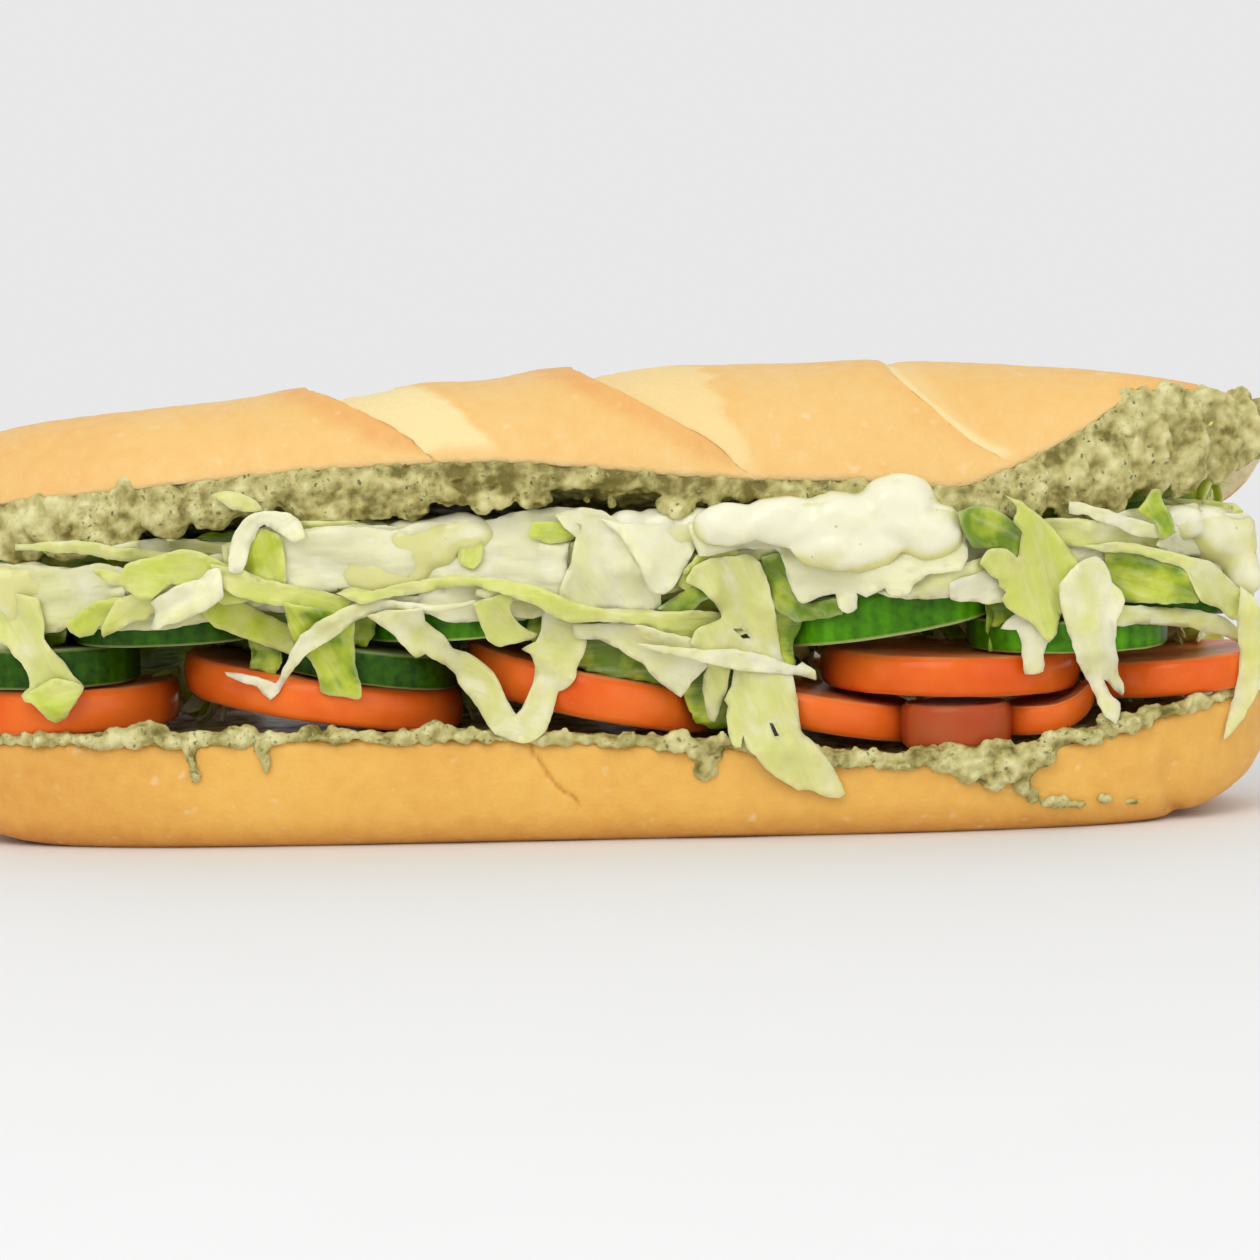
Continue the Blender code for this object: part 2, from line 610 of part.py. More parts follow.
def lettuce_front(x: float) -> float:
    """Front of the lettuce core, set back where mayonnaise lies before it."""
    return LETTUCE_SETBACK - half_width(x) + POOL_SETBACK * in_pool(x)


def build_lettuce_core(material: bpy.types.Material) -> bpy.types.Object:
    """The packed middle of the lettuce, between the slices and the upper spread."""
    columns = []
    for index in range(LETTUCE_ROWS + 1):
        t = index / LETTUCE_ROWS
        row = []
        for step in range(LETTUCE_STATIONS + 1):
            x = LETTUCE_HALF_LENGTH * (2 * step / LETTUCE_STATIONS - 1)
            y = lettuce_front(x) * (1 - t) + (half_width(x) - LETTUCE_SETBACK + 1) * t
            spread = max(UPPER_SPREAD_LEAST, upper_spread_depth(x, across(y, x))) + 5 * CLEARANCE
            high = upper_cut(x, y) - spread - 3.0 * (1 - t)
            low = over_slices(x, y, LETTUCE_MARGIN, LETTUCE_FLOOR)
            row.append((x, y, min(low, high - LETTUCE_LEAST), high))
        columns.append(row)
    return slab("lettuce", columns, material)


def path_point(points: list, t: float) -> Vector:
    """A point at a fraction t along a smooth curve through the given points."""
    place = t * (len(points) - 1)
    index = min(int(place), len(points) - 2)
    t = place - index
    a, b = points[index], points[index + 1]
    before, after = points[max(index - 1, 0)], points[min(index + 2, len(points) - 1)]
    return ((2 * t ** 3 - 3 * t ** 2 + 1) * a + (t ** 3 - 2 * t ** 2 + t) * (b - before) / 2
            + (3 * t ** 2 - 2 * t ** 3) * b + (t ** 3 - t ** 2) * (after - a) / 2)


def front_of(x: float, z: float, half: float, trees: dict, side: int) -> float:
    """How far out the nearest thing at (x, z) reaches towards the viewer (side -1) or the back (side 1)."""
    reach = None
    for dx, dz in ((0, 0), (half, 0), (-half, 0), (0, half), (0, -half)):
        origin = Vector((x + dx, side * 90, z + dz)) * MM
        for tree in trees.values():
            hit = tree.ray_cast(origin, Vector((0, -side, 0)))[0]
            if hit is not None:
                out = hit.y / MM * side
                reach = out if reach is None else max(reach, out)
    return reach


def drape(strip: Strip, root: Vector, trees: dict, side: int) -> list:
    """Lay a shred's path over what is behind it, with its first point rooted in the core."""
    flat = [Vector((x, 0, z)) for x, z in strip.path]
    steps = len(flat) + 1
    points = [path_point(flat, step / steps) for step in range(steps + 1)]
    out = []
    for point in points:
        reach = front_of(point.x, point.z, strip.width / 2 + 0.4, trees, side)
        least = abs(root.y) + 3
        out.append(least if reach is None else max(least, reach + STRIP_CLEARANCE + STRIP_THICKNESS / 2))
    for _ in range(2):
        out = [max(value, (out[max(i - 1, 0)] + out[min(i + 1, len(out) - 1)]) / 2)
               for i, value in enumerate(out)]
    draped = [Vector((point.x, side * reach, point.z)) for point, reach in zip(points, out)]
    return [root] + draped


def build_ribbon(path: list, width: float, material: bpy.types.Material) -> bpy.types.Object:
    """A flat strip along a path, its broad side facing front or back."""
    rings = []
    for index, point in enumerate(path):
        along = (path[min(index + 1, len(path) - 1)] - path[max(index - 1, 0)]).normalized()
        sideways = along.cross(Vector((0, 1, 0)))
        sideways = Vector((1, 0, 0)) if sideways.length < 0.2 else sideways.normalized()
        outward = sideways.cross(along).normalized() * STRIP_THICKNESS / 2
        half = width / 2 * (0.72 if index == len(path) - 1 else 1)
        edge = sideways * half
        rings.append([point + edge + outward, point - edge + outward,
                      point - edge - outward, point + edge - outward])
    vertices = [point for ring in rings for point in ring]
    faces = [(0, 1, 2, 3)]
    for index in range(len(rings) - 1):
        for step in range(4):
            a, b = index * 4 + step, index * 4 + (step + 1) % 4
            faces.append((b, a, a + 4, b + 4))
    last = (len(rings) - 1) * 4
    faces.append((last + 3, last + 2, last + 1, last))
    made = add_object("shred", vertices, faces, material)
    face_outwards(made)
    return made


def back_strips() -> list:
    """Shreds that hang out at the closed side, spread along it at random."""
    draw = random.Random(SEED)
    strips = []
    for index in range(BACK_STRIPS):
        x = -104 + 208 * (index + draw.uniform(0.2, 0.8)) / BACK_STRIPS
        length = draw.uniform(5, 13)
        drift = draw.uniform(-9, 9)
        top = 43.0 + 6 * ease((x - 90) / 20)
        path = ((x, top), (x + drift * 0.6, top - length * 0.5), (x + drift, top - length))
        strips.append(Strip(draw.uniform(2.6, 6.0), path))
    return strips


def build_lettuce(material: bpy.types.Material, neighbours: dict) -> bpy.types.Object:
    """Shredded lettuce: a packed core with the shreds that show fused on."""
    core = build_lettuce_core(material)
    shreds = []
    for side, strips in ((-1, FRONT_STRIPS), (1, back_strips())):
        for strip in strips:
            x, z = strip.path[0]
            inside = -lettuce_front(x) - 4 if side < 0 else half_width(x) - 8
            low = over_slices(x, side * inside, 0, LETTUCE_FLOOR) + 2.0
            root = Vector((x, side * inside, max(z, low)))
            shred = build_ribbon(drape(strip, root, neighbours, side), strip.width, material)
            if clear_of(shred, neighbours, Vector((0, 0.3 * side, 0)), 14):
                shreds.append(shred)
            else:
                print("left out a shred at", strip.path[0])
                bpy.data.objects.remove(shred)
    return fuse(core, shreds)


def build_pool(name: str, blobs: tuple, material: bpy.types.Material, neighbours: dict) -> bpy.types.Object:
    """A pool of mayonnaise: rounded lumps fused together in front of the lettuce."""
    balls = []
    for blob in blobs:
        y = -half_width(blob.x) + 4.5
        balls.append(build_ball(name, (blob.x, y, blob.z), (blob.half_x, blob.half_y, blob.half_z), material))
    for ball in balls:
        if not clear_of(ball, neighbours, Vector((0, -0.4, -0.1)), 30):
            print("a lump of", name, "still touches")
    core = balls[0]
    core.name = name
    return fuse(core, balls[1:])


def colour(name: str, red: float, green: float, blue: float, roughness: float) -> bpy.types.Material:
    """A plain food colour, as display values from 0 to 1."""
    material = bpy.data.materials.new(name)
    material.use_nodes = True
    shader = material.node_tree.nodes["Principled BSDF"]
    linear = [value ** 2.2 for value in (red, green, blue)]
    shader.inputs["Base Color"].default_value = (*linear, 1)
    shader.inputs["Roughness"].default_value = roughness
    shader.inputs["Metallic"].default_value = 0.0
    material.diffuse_color = (*linear, 1)
    return material


def main() -> None:
    """Build the sandwich from the bottom up."""
    for old in list(bpy.data.objects):
        bpy.data.objects.remove(old)
    crust = colour("crust", 0.88, 0.68, 0.40, 0.6)
    spread = colour("herb_spread", 0.66, 0.66, 0.46, 0.5)
    tomato = colour("tomato_skin", 0.86, 0.34, 0.12, 0.25)
    cucumber = colour("cucumber_skin", 0.22, 0.47, 0.09, 0.35)
    lettuce = colour("lettuce_leaf", 0.84, 0.87, 0.58, 0.45)
    mayonnaise = colour("mayonnaise", 0.96, 0.96, 0.90, 0.3)

    bread = [build_lower_half(crust), build_upper_half(crust)]
    slices = [build_slice(cut, 20, 0.02, tomato) for cut in TOMATOES]
    slices += [build_slice(cut, 18, 0.0, cucumber) for cut in CUCUMBERS]
    solid = {piece.name: skin_tree(piece) for piece in bread + slices}
    solid["spread_bottom"] = skin_tree(build_lower_spread(spread, solid))
    solid["spread_top"] = skin_tree(build_upper_spread(spread, solid))
    for name, blobs in MAYONNAISE.items():
        solid[name] = skin_tree(build_pool(name, blobs, mayonnaise, solid))
    build_lettuce(lettuce, solid)


main()
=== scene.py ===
import json
import logging
import math
import random
from dataclasses import dataclass, field
from enum import Enum

import bmesh
import bpy
import numpy as np
from mathutils import Matrix, Vector, noise
from mathutils.bvhtree import BVHTree
from mathutils.geometry import delaunay_2d_cdt

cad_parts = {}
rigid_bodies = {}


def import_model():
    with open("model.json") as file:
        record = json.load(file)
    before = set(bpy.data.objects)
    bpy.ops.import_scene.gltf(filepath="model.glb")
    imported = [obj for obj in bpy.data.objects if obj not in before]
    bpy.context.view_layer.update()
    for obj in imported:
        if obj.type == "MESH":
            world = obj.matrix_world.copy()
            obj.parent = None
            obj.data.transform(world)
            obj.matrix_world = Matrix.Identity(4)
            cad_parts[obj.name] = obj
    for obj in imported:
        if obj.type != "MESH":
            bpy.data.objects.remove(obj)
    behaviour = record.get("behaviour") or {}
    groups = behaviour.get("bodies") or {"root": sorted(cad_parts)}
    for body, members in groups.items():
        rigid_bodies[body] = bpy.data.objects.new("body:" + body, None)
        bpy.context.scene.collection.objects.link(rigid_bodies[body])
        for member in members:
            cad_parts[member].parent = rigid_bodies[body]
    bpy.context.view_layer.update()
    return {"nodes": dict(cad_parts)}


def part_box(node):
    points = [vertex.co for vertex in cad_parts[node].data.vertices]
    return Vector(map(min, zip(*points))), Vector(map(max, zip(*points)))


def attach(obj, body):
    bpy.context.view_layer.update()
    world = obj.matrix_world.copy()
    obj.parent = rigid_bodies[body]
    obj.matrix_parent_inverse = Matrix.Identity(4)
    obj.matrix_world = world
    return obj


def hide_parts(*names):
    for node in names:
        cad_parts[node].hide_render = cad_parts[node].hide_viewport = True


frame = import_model()

Piece = bpy.types.Object
Finish = bpy.types.Material

LOG = logging.getLogger("sandwich")
MM = 0.001
BODY = "root"
# Rays towards the back start in front of everything, in millimetres
IN_FRONT = -70.0
BACKWARDS = Vector((0, 1, 0))


class Slot(Enum):
    """The record's material slots."""
    CRUST = "crust"
    SPREAD = "herb_spread"
    TOMATO = "tomato"
    CUCUMBER = "cucumber"
    LETTUCE = "lettuce"
    MAYONNAISE = "mayonnaise"


def ease(t: float) -> float:
    """Go from 0 to 1 smoothly as t does, and stay there."""
    t = min(max(t, 0.0), 1.0)
    return t * t * (3 - 2 * t)


def blend(t: float, start: object, end: object, leaving: object, arriving: object) -> object:
    """Go from start to end as t goes from 0 to 1, with the given slopes on leaving and arriving."""
    return ((2 * t ** 3 - 3 * t ** 2 + 1) * start + (t ** 3 - 2 * t ** 2 + t) * leaving
            + (3 * t ** 2 - 2 * t ** 3) * end + (t ** 3 - t ** 2) * arriving)


def smooth(table: tuple, x: float) -> float:
    """Read a value from a table of (place, value) along a smooth curve.

    Args:
        table: Pairs of place and value, in order of place.
        x: Where to read.

    Returns:
        The value at x, held level beyond the table's ends.
    """
    if x <= table[0][0]:
        return table[0][1]
    for index in range(len(table) - 1):
        left, right = table[index], table[index + 1]
        if x <= right[0]:
            before, after = table[max(index - 1, 0)], table[min(index + 2, len(table) - 1)]
            span = right[0] - left[0]
            rise_left = (right[1] - before[1]) / (right[0] - before[0]) * span
            rise_right = (after[1] - left[1]) / (after[0] - left[0]) * span
            return blend((x - left[0]) / span, left[1], right[1], rise_left, rise_right)
    return table[-1][1]


def full_cosine(angle: float, power: float) -> float:
    """Cosine of an angle round a wall that is fuller than a circle as the power exceeds 2."""
    return math.copysign(abs(math.cos(angle)) ** (2 / power), math.cos(angle))


def wave(*place: float) -> float:
    """Smooth random value of about -1 to 1 at a place."""
    return noise.noise(Vector(place))


def rough(point: tuple, size: float, octaves: int = 3) -> float:
    """Smooth random value at a place.

    Args:
        point: Place in millimetres.
        size: Size of the largest features in millimetres.
        octaves: How many finer layers are added.

    Returns:
        A value of about -1 to 1.
    """
    return noise.fractal(Vector(point) / size, 1.0, 2.0, octaves)


def linear(code: str) -> tuple:
    """Turn an sRGB hex colour into linear values with full alpha."""
    parts = [int(code[i:i + 2], 16) / 255 for i in (1, 3, 5)]
    return tuple(c / 12.92 if c <= 0.04045 else ((c + 0.055) / 1.055) ** 2.4 for c in parts) + (1.0,)


def per_mm(size: float) -> float:
    """Texture scale that gives features of a size in millimetres on Object coordinates."""
    return 1 / (size * MM)


def feed(node: bpy.types.Node, inputs: dict) -> None:
    """Give a node's inputs, by name or number, a value or a link.

    Args:
        node: The node.
        inputs: Values, hex colours, output sockets, or nodes whose first output in use is linked.
    """
    for key, value in inputs.items():
        if isinstance(value, bpy.types.Node):
            value = next(socket for socket in value.outputs if socket.enabled)
        if isinstance(value, bpy.types.NodeSocket):
            node.id_data.links.new(value, node.inputs[key])
        else:
            node.inputs[key].default_value = linear(value) if isinstance(value, str) else value


def add_node(tree: bpy.types.NodeTree, kind: str, inputs: dict | None = None, **settings) -> bpy.types.Node:
    """Add one node with its settings and links.

    Args:
        tree: The tree that gets the node.
        kind: The node's type name; a shader node's goes without its first words.
        inputs: What its inputs get, as for feed.
        settings: The node's own properties; stops gives a colour ramp's places and hex colours.

    Returns:
        The new node.
    """
    node = tree.nodes.new(kind if "Node" in kind else "ShaderNode" + kind)
    stops = settings.pop("stops", None)
    for key, value in settings.items():
        setattr(node, key, value)
    if stops:
        while len(node.color_ramp.elements) < len(stops):
            node.color_ramp.elements.new(1.0)
        for element, (place, code) in zip(node.color_ramp.elements, stops):
            element.position = place
            element.color = linear(code)
    feed(node, inputs or {})
    return node


def new_material(name: str, *keys: str) -> tuple:
    """Start a material.

    Args:
        name: What the real surface is.
        keys: The piece's attributes that the material reads.

    Returns:
        The material, its tree, its shader, the Object coordinates and an output for each attribute.
    """
    material = bpy.data.materials.new(name)
    material.use_nodes = True
    tree = material.node_tree
    tree.nodes.clear()
    shader = add_node(tree, "BsdfPrincipled")
    add_node(tree, "OutputMaterial", {"Surface": shader})
    place = add_node(tree, "TexCoord").outputs["Object"]
    return material, tree, shader, place, *[add_node(tree, "Attribute", attribute_name=key).outputs["Fac"]
                                            for key in keys]


@dataclass(frozen=True)
class BakedCrust:
    """Crust of a soft wheat roll, brushed and oven-baked.

    The eye sees a satin golden skin, redder where the heat reached it most, paler and matt where it tore.
    """
    pale: str = "#EBCC8E"
    gold: str = "#E8BC71"
    brown: str = "#E09C54"
    torn: str = "#EEDAA0"
    crumb: str = "#F4E4BC"
    flour: str = "#F8E6C0"
    roughness: float = 0.46

    def build(self, name: str) -> Finish:
        """Make the material; it reads the piece's bake, torn and crumb attributes; bake also carries painted
        shade along the lower crust's crack.

        Args:
            name: What the real surface is.

        Returns:
            The material.
        """
        material, tree, shader, place, bake, torn, crumb = new_material(name, "bake", "torn", "crumb")
        # The heat's patches are about 22 mm wide, with a finer mottle of 3 mm over them
        clouds = add_node(tree, "TexNoise", {"Vector": place, "Scale": per_mm(22), "Detail": 4.0})
        mottle = add_node(tree, "TexNoise", {"Vector": place, "Scale": per_mm(3.2), "Detail": 5.0})
        shift = add_node(tree, "Math", {0: clouds, 1: 0.34}, operation="MULTIPLY")
        finer = add_node(tree, "Math", {0: mottle, 1: 0.36}, operation="MULTIPLY")
        both = add_node(tree, "Math", {0: shift, 1: finer}, operation="ADD")
        level = add_node(tree, "Math", {0: bake, 1: both}, operation="ADD")
        level = add_node(tree, "Math", {0: level, 1: 0.35}, operation="SUBTRACT")
        skin = add_node(tree, "ValToRGB", {0: level},
                        stops=((0.0, self.pale), (0.45, self.gold), (1.0, self.brown)))
        # Flour left in spots of up to 3 mm
        specks = add_node(tree, "TexNoise", {"Vector": place, "Scale": per_mm(3.0), "Detail": 1.0})
        spot = add_node(tree, "MapRange", {"Value": specks, "From Min": 0.68, "From Max": 0.84,
                                           "To Max": 0.3})
        skin = add_node(tree, "Mix", {0: spot, 6: skin, 7: self.flour}, data_type="RGBA")
        crust = add_node(tree, "Mix", {0: torn, 6: skin, 7: self.torn}, data_type="RGBA")
        colour = add_node(tree, "Mix", {0: crumb, 6: crust, 7: self.crumb}, data_type="RGBA")
        gloss = add_node(tree, "MapRange", {"Value": mottle, "From Min": 0.3, "From Max": 0.7,
                                            "To Min": self.roughness - 0.07, "To Max": self.roughness + 0.12})
        matt = add_node(tree, "Math", {0: torn, 1: crumb}, operation="MAXIMUM")
        gloss = add_node(tree, "Mix", {0: matt, 2: gloss, 3: 0.85})
        # Fine pores everywhere, and open crumb cells of 1.6 mm where the skin is gone
        pores = add_node(tree, "TexNoise", {"Vector": place, "Scale": per_mm(0.9), "Detail": 5.0})
        cells = add_node(tree, "TexVoronoi", {"Vector": place, "Scale": per_mm(1.6)})
        coarse = add_node(tree, "Math", {0: cells, 1: matt}, operation="MULTIPLY")
        height = add_node(tree, "Math", {0: pores, 1: coarse}, operation="ADD")
        bump = add_node(tree, "Bump", {"Height": height, "Strength": 0.55, "Distance": 0.35 * MM})
        feed(shader, {"Base Color": colour, "Roughness": gloss, "Normal": bump, "Specular IOR Level": 0.35,
                      "Subsurface Weight": 0.12, "Subsurface Radius": (1.0, 0.6, 0.3),
                      "Subsurface Scale": 1.5 * MM})
        return material


@dataclass(frozen=True)
class HerbCream:
    """Cream whipped with chopped herbs: moist, lumpy and flecked."""
    base: str = "#B8AE6E"
    shade: str = "#766C30"
    light: str = "#DAD49C"
    herb: str = "#6A6530"

    def build(self, name: str) -> Finish:
        """Make the material; it reads relief, which carries painted light and shade, and its flecks of herb
        gather in patches.

        Args:
            name: What the real surface is.

        Returns:
            The material.
        """
        material, tree, shader, place, relief = new_material(name, "relief")
        clouds = add_node(tree, "TexNoise", {"Vector": place, "Scale": per_mm(4.5), "Detail": 5.0,
                                             "Roughness": 0.6})
        # Painted light and shade: relief makes the cream paler where it stands out and darker in its hollows
        # and in the roll's shade; the clouds add random tone
        level = add_node(tree, "Math", {0: relief, 1: clouds}, operation="ADD")
        cream = add_node(tree, "ValToRGB", {0: level},
                         stops=((0.14, self.shade), (0.46, self.base), (0.84, self.light)))
        fine = add_node(tree, "TexNoise", {"Vector": place, "Scale": per_mm(0.7), "Detail": 3.0})
        patches = add_node(tree, "TexNoise", {"Vector": place, "Scale": per_mm(13), "Detail": 2.0})
        where = add_node(tree, "MapRange", {"Value": patches, "From Min": 0.42, "From Max": 0.6,
                                            "To Max": 0.7})
        grain = add_node(tree, "MapRange", {"Value": fine, "From Min": 0.56, "From Max": 0.7})
        mask = add_node(tree, "Math", {0: grain, 1: where}, operation="MULTIPLY")
        colour = add_node(tree, "Mix", {0: mask, 6: cream, 7: self.herb}, data_type="RGBA")
        bump = add_node(tree, "Bump", {"Height": fine, "Strength": 0.45, "Distance": 0.3 * MM})
        feed(shader, {"Base Color": colour, "Normal": bump, "Roughness": 0.4, "Specular IOR Level": 0.25,
                      "Subsurface Weight": 0.2, "Subsurface Radius": (1.0, 0.9, 0.5),
                      "Subsurface Scale": 1.2 * MM})
        return material


@dataclass(frozen=True)
class HerbFlake:
    """Chopped green herb, wetted by the cream."""
    light: str = "#97945A"
    dark: str = "#66652E"

    def build(self, name: str) -> Finish:
        """Make the material.

        Args:
            name: What the real surface is.

        Returns:
            The material.
        """
        material, tree, shader, place = new_material(name)
        change = add_node(tree, "TexNoise", {"Vector": place, "Scale": per_mm(4), "Detail": 2.0})
        colour = add_node(tree, "ValToRGB", {0: change}, stops=((0.35, self.dark), (0.65, self.light)))
        feed(shader, {"Base Color": colour, "Roughness": 0.4})
        return material


@dataclass(frozen=True)
class FreshTomato:
    """Sliced tomato: tight glossy skin round the rim, wet paler flesh on the cut faces."""
    skin: str = "#EE7224"
    deep: str = "#DE5814"
    flesh: str = "#E8713C"
    wall: str = "#F09A62"
    painted_shade_colour: str = "#84280E"

    def build(self, name: str) -> Finish:
        """Make the material; it reads the piece's flesh attribute and an attribute of painted shade that
        darkens it.

        Args:
            name: What the real surface is.

        Returns:
            The material.
        """
        material, tree, shader, place, flesh, dusk = new_material(name, "flesh", "dusk")
        clouds = add_node(tree, "TexNoise", {"Vector": place, "Scale": per_mm(14), "Detail": 3.0})
        skin = add_node(tree, "ValToRGB", {0: clouds}, stops=((0.3, self.deep), (0.6, self.skin)))
        # Pale dots in the skin, under a millimetre wide
        dots = add_node(tree, "TexNoise", {"Vector": place, "Scale": per_mm(0.7), "Detail": 1.0})
        dot = add_node(tree, "MapRange", {"Value": dots, "From Min": 0.64, "From Max": 0.72, "To Max": 0.12})
        skin = add_node(tree, "Mix", {0: dot, 6: skin, 7: self.wall}, data_type="RGBA")
        cells = add_node(tree, "TexVoronoi", {"Vector": place, "Scale": per_mm(9)})
        inner = add_node(tree, "ValToRGB", {0: cells}, stops=((0.2, self.flesh), (0.7, self.wall)))
        colour = add_node(tree, "Mix", {0: flesh, 6: skin, 7: inner}, data_type="RGBA")
        # Painted shade: the slice is darkened where it lies in shade
        colour = add_node(tree, "Mix", {0: dusk, 6: colour, 7: self.painted_shade_colour}, data_type="RGBA")
        wet = add_node(tree, "MapRange", {"Value": flesh, "To Min": 0.16, "To Max": 0.34})
        bump = add_node(tree, "Bump", {"Height": clouds, "Strength": 0.25, "Distance": 0.5 * MM})
        feed(shader, {"Base Color": colour, "Roughness": wet, "Normal": bump, "Specular IOR Level": 0.2,
                      "Subsurface Weight": 0.25, "Subsurface Radius": (1.0, 0.25, 0.08),
                      "Subsurface Scale": 2.0 * MM})
        return material


@dataclass(frozen=True)
class FreshCucumber:
    """Sliced cucumber: waxy skin striped dark and light from end to end, pale wet flesh with seeds."""
    dark: str = "#173A03"
    light: str = "#62AE0C"
    flesh: str = "#D7E39B"
    painted_shade_colour: str = "#101C04"
    core: str = "#E6EDB8"
    seed: str = "#F1EFC8"

    def build(self, name: str) -> Finish:
        """Make the material; it reads the piece's flesh, stripe and middle attributes, and an attribute of
        painted shade that darkens it.

        Args:
            name: What the real surface is.

        Returns:
            The material.
        """
        keys = ("flesh", "stripe", "middle", "dusk")
        material, tree, shader, place, flesh, stripe, middle, dusk = new_material(name, *keys)
        mottle = add_node(tree, "TexNoise", {"Vector": place, "Scale": per_mm(1.6), "Detail": 3.0})
        blur = add_node(tree, "Math", {0: mottle, 1: 0.5}, operation="MULTIPLY")
        level = add_node(tree, "Math", {0: stripe, 1: blur}, operation="ADD")
        skin = add_node(tree, "ValToRGB", {0: level}, stops=((0.28, self.dark), (1.0, self.light)))
        seeds = add_node(tree, "TexVoronoi", {"Vector": place, "Scale": per_mm(3.4)})
        seed = add_node(tree, "MapRange", {"Value": seeds, "From Min": 0.34, "From Max": 0.26, "To Max": 0.8})
        seed = add_node(tree, "Math", {0: seed, 1: middle}, operation="MULTIPLY")
        inner = add_node(tree, "Mix", {0: middle, 6: self.flesh, 7: self.core}, data_type="RGBA")
        inner = add_node(tree, "Mix", {0: seed, 6: inner, 7: self.seed}, data_type="RGBA")
        colour = add_node(tree, "Mix", {0: flesh, 6: skin, 7: inner}, data_type="RGBA")
        # Painted shade: the slice is darkened where it lies in shade
        colour = add_node(tree, "Mix", {0: dusk, 6: colour, 7: self.painted_shade_colour}, data_type="RGBA")
        bump = add_node(tree, "Bump", {"Height": mottle, "Strength": 0.2, "Distance": 0.25 * MM})
        feed(shader, {"Base Color": colour, "Normal": bump, "Roughness": 0.36, "Specular IOR Level": 0.14,
                      "Subsurface Weight": 0.15, "Subsurface Radius": (0.5, 1.0, 0.3),
                      "Subsurface Scale": 1.5 * MM})
        return material


@dataclass(frozen=True)
class CutLettuce:
    """Shredded crisp lettuce: thin wet leaf, green to near-white, filmed with mayonnaise in places."""
    rib: str = "#EBE9C2"
    pale: str = "#D5D67C"
    blade: str = "#BECB3A"
    green: str = "#6C8A0C"
    film: str = "#EAE8C0"

    def build(self, name: str) -> Finish:
        """Make the material; it reads the piece's tone, edge, along, side, lot and film attributes; edge
        carries a painted highlight along the leaf's rim.

        Args:
            name: What the real surface is.

        Returns:
            The material.
        """
        keys = ("tone", "edge", "along", "side", "lot", "film")
        material, tree, shader, place, tone, edge, along, side, lot, film = new_material(name, *keys)
        flow = add_node(tree, "CombineXYZ", {0: along, 1: side, 2: lot})
        clouds = add_node(tree, "TexNoise", {"Vector": place, "Scale": per_mm(6), "Detail": 3.0})
        # Veins run along the leaf: 1.6 mm apart across it, and about 12 mm long
        lanes = add_node(tree, "Mapping", {"Vector": flow, "Scale": (1 / 12, 1 / 1.6, 3.7)})
        veins = add_node(tree, "TexNoise", {"Vector": lanes, "Scale": 1.0, "Detail": 3.0, "Distortion": 0.8})
        shift = add_node(tree, "MapRange", {"Value": clouds, "From Min": 0.3, "From Max": 0.7,
                                            "To Min": -0.2, "To Max": 0.2})
        level = add_node(tree, "Math", {0: tone, 1: shift}, operation="ADD")
        leaf = add_node(tree, "ValToRGB", {0: level},
                        stops=((0.0, self.rib), (0.34, self.pale), (0.7, self.blade), (1.0, self.green)))
        vein = add_node(tree, "MapRange", {"Value": veins, "From Min": 0.5, "From Max": 0.72, "To Max": 0.2})
        # Paler along the veins, and a painted highlight along the rim from edge
        paler = add_node(tree, "Math", {0: vein, 1: edge}, operation="MAXIMUM")
        bare = add_node(tree, "Mix", {0: paler, 6: leaf, 7: self.rib}, data_type="RGBA")
        patch = add_node(tree, "MapRange", {"Value": clouds, "From Min": 0.34, "From Max": 0.62,
                                            "To Min": 0.25, "To Max": 1.0})
        coat = add_node(tree, "Math", {0: film, 1: patch}, operation="MULTIPLY", use_clamp=True)
        colour = add_node(tree, "Mix", {0: coat, 6: bare, 7: self.film}, data_type="RGBA")
        crinkle = add_node(tree, "TexNoise", {"Vector": place, "Scale": per_mm(2.4), "Detail": 3.0})
        height = add_node(tree, "Math", {0: veins, 1: crinkle}, operation="ADD")
        bump = add_node(tree, "Bump", {"Height": height, "Strength": 0.5, "Distance": 0.45 * MM})
        feed(shader, {"Base Color": colour, "Normal": bump, "Roughness": 0.32, "Specular IOR Level": 0.35,
                      "Subsurface Weight": 0.4, "Subsurface Radius": (0.9, 1.0, 0.3),
                      "Subsurface Scale": 2.0 * MM})
        return material


@dataclass(frozen=True)
class Mayonnaise:
    """Thick egg mayonnaise: glossy off-white, a little yellow where it is thin and towards the lower part of
    each pool.
    """
    white: str = "#E9E7CA"
    thin: str = "#D6D28C"
    speck: str = "#8C9448"

    def build(self, name: str) -> Finish:
        """Make the material, with a few flecks of herb; it reads the piece's thin attribute.

        Args:
            name: What the real surface is.

        Returns:
            The material.
        """
        material, tree, shader, place, thin = new_material(name, "thin")
        clouds = add_node(tree, "TexNoise", {"Vector": place, "Scale": per_mm(7), "Detail": 3.0})
        depth = add_node(tree, "Math", {0: clouds, 1: thin}, operation="SUBTRACT")
        cream = add_node(tree, "ValToRGB", {0: depth}, stops=((0.0, self.thin), (0.42, self.white)))
        dots = add_node(tree, "TexNoise", {"Vector": place, "Scale": per_mm(1.5), "Detail": 1.0})
        dot = add_node(tree, "MapRange", {"Value": dots, "From Min": 0.75, "From Max": 0.8, "To Max": 0.6})
        colour = add_node(tree, "Mix", {0: dot, 6: cream, 7: self.speck}, data_type="RGBA")
        bump = add_node(tree, "Bump", {"Height": clouds, "Strength": 0.3, "Distance": 0.5 * MM})
        feed(shader, {"Base Color": colour, "Normal": bump, "Roughness": 0.22, "Subsurface Weight": 0.3,
                      "Subsurface Radius": (1.0, 0.95, 0.7), "Subsurface Scale": 2.0 * MM})
        return material


def new_object(name: str, data: bpy.types.ID) -> Piece:
    """Make an object of a mesh, lamp or camera and link it to the scene."""
    made = bpy.data.objects.new(name, data)
    bpy.context.scene.collection.objects.link(made)
    return made


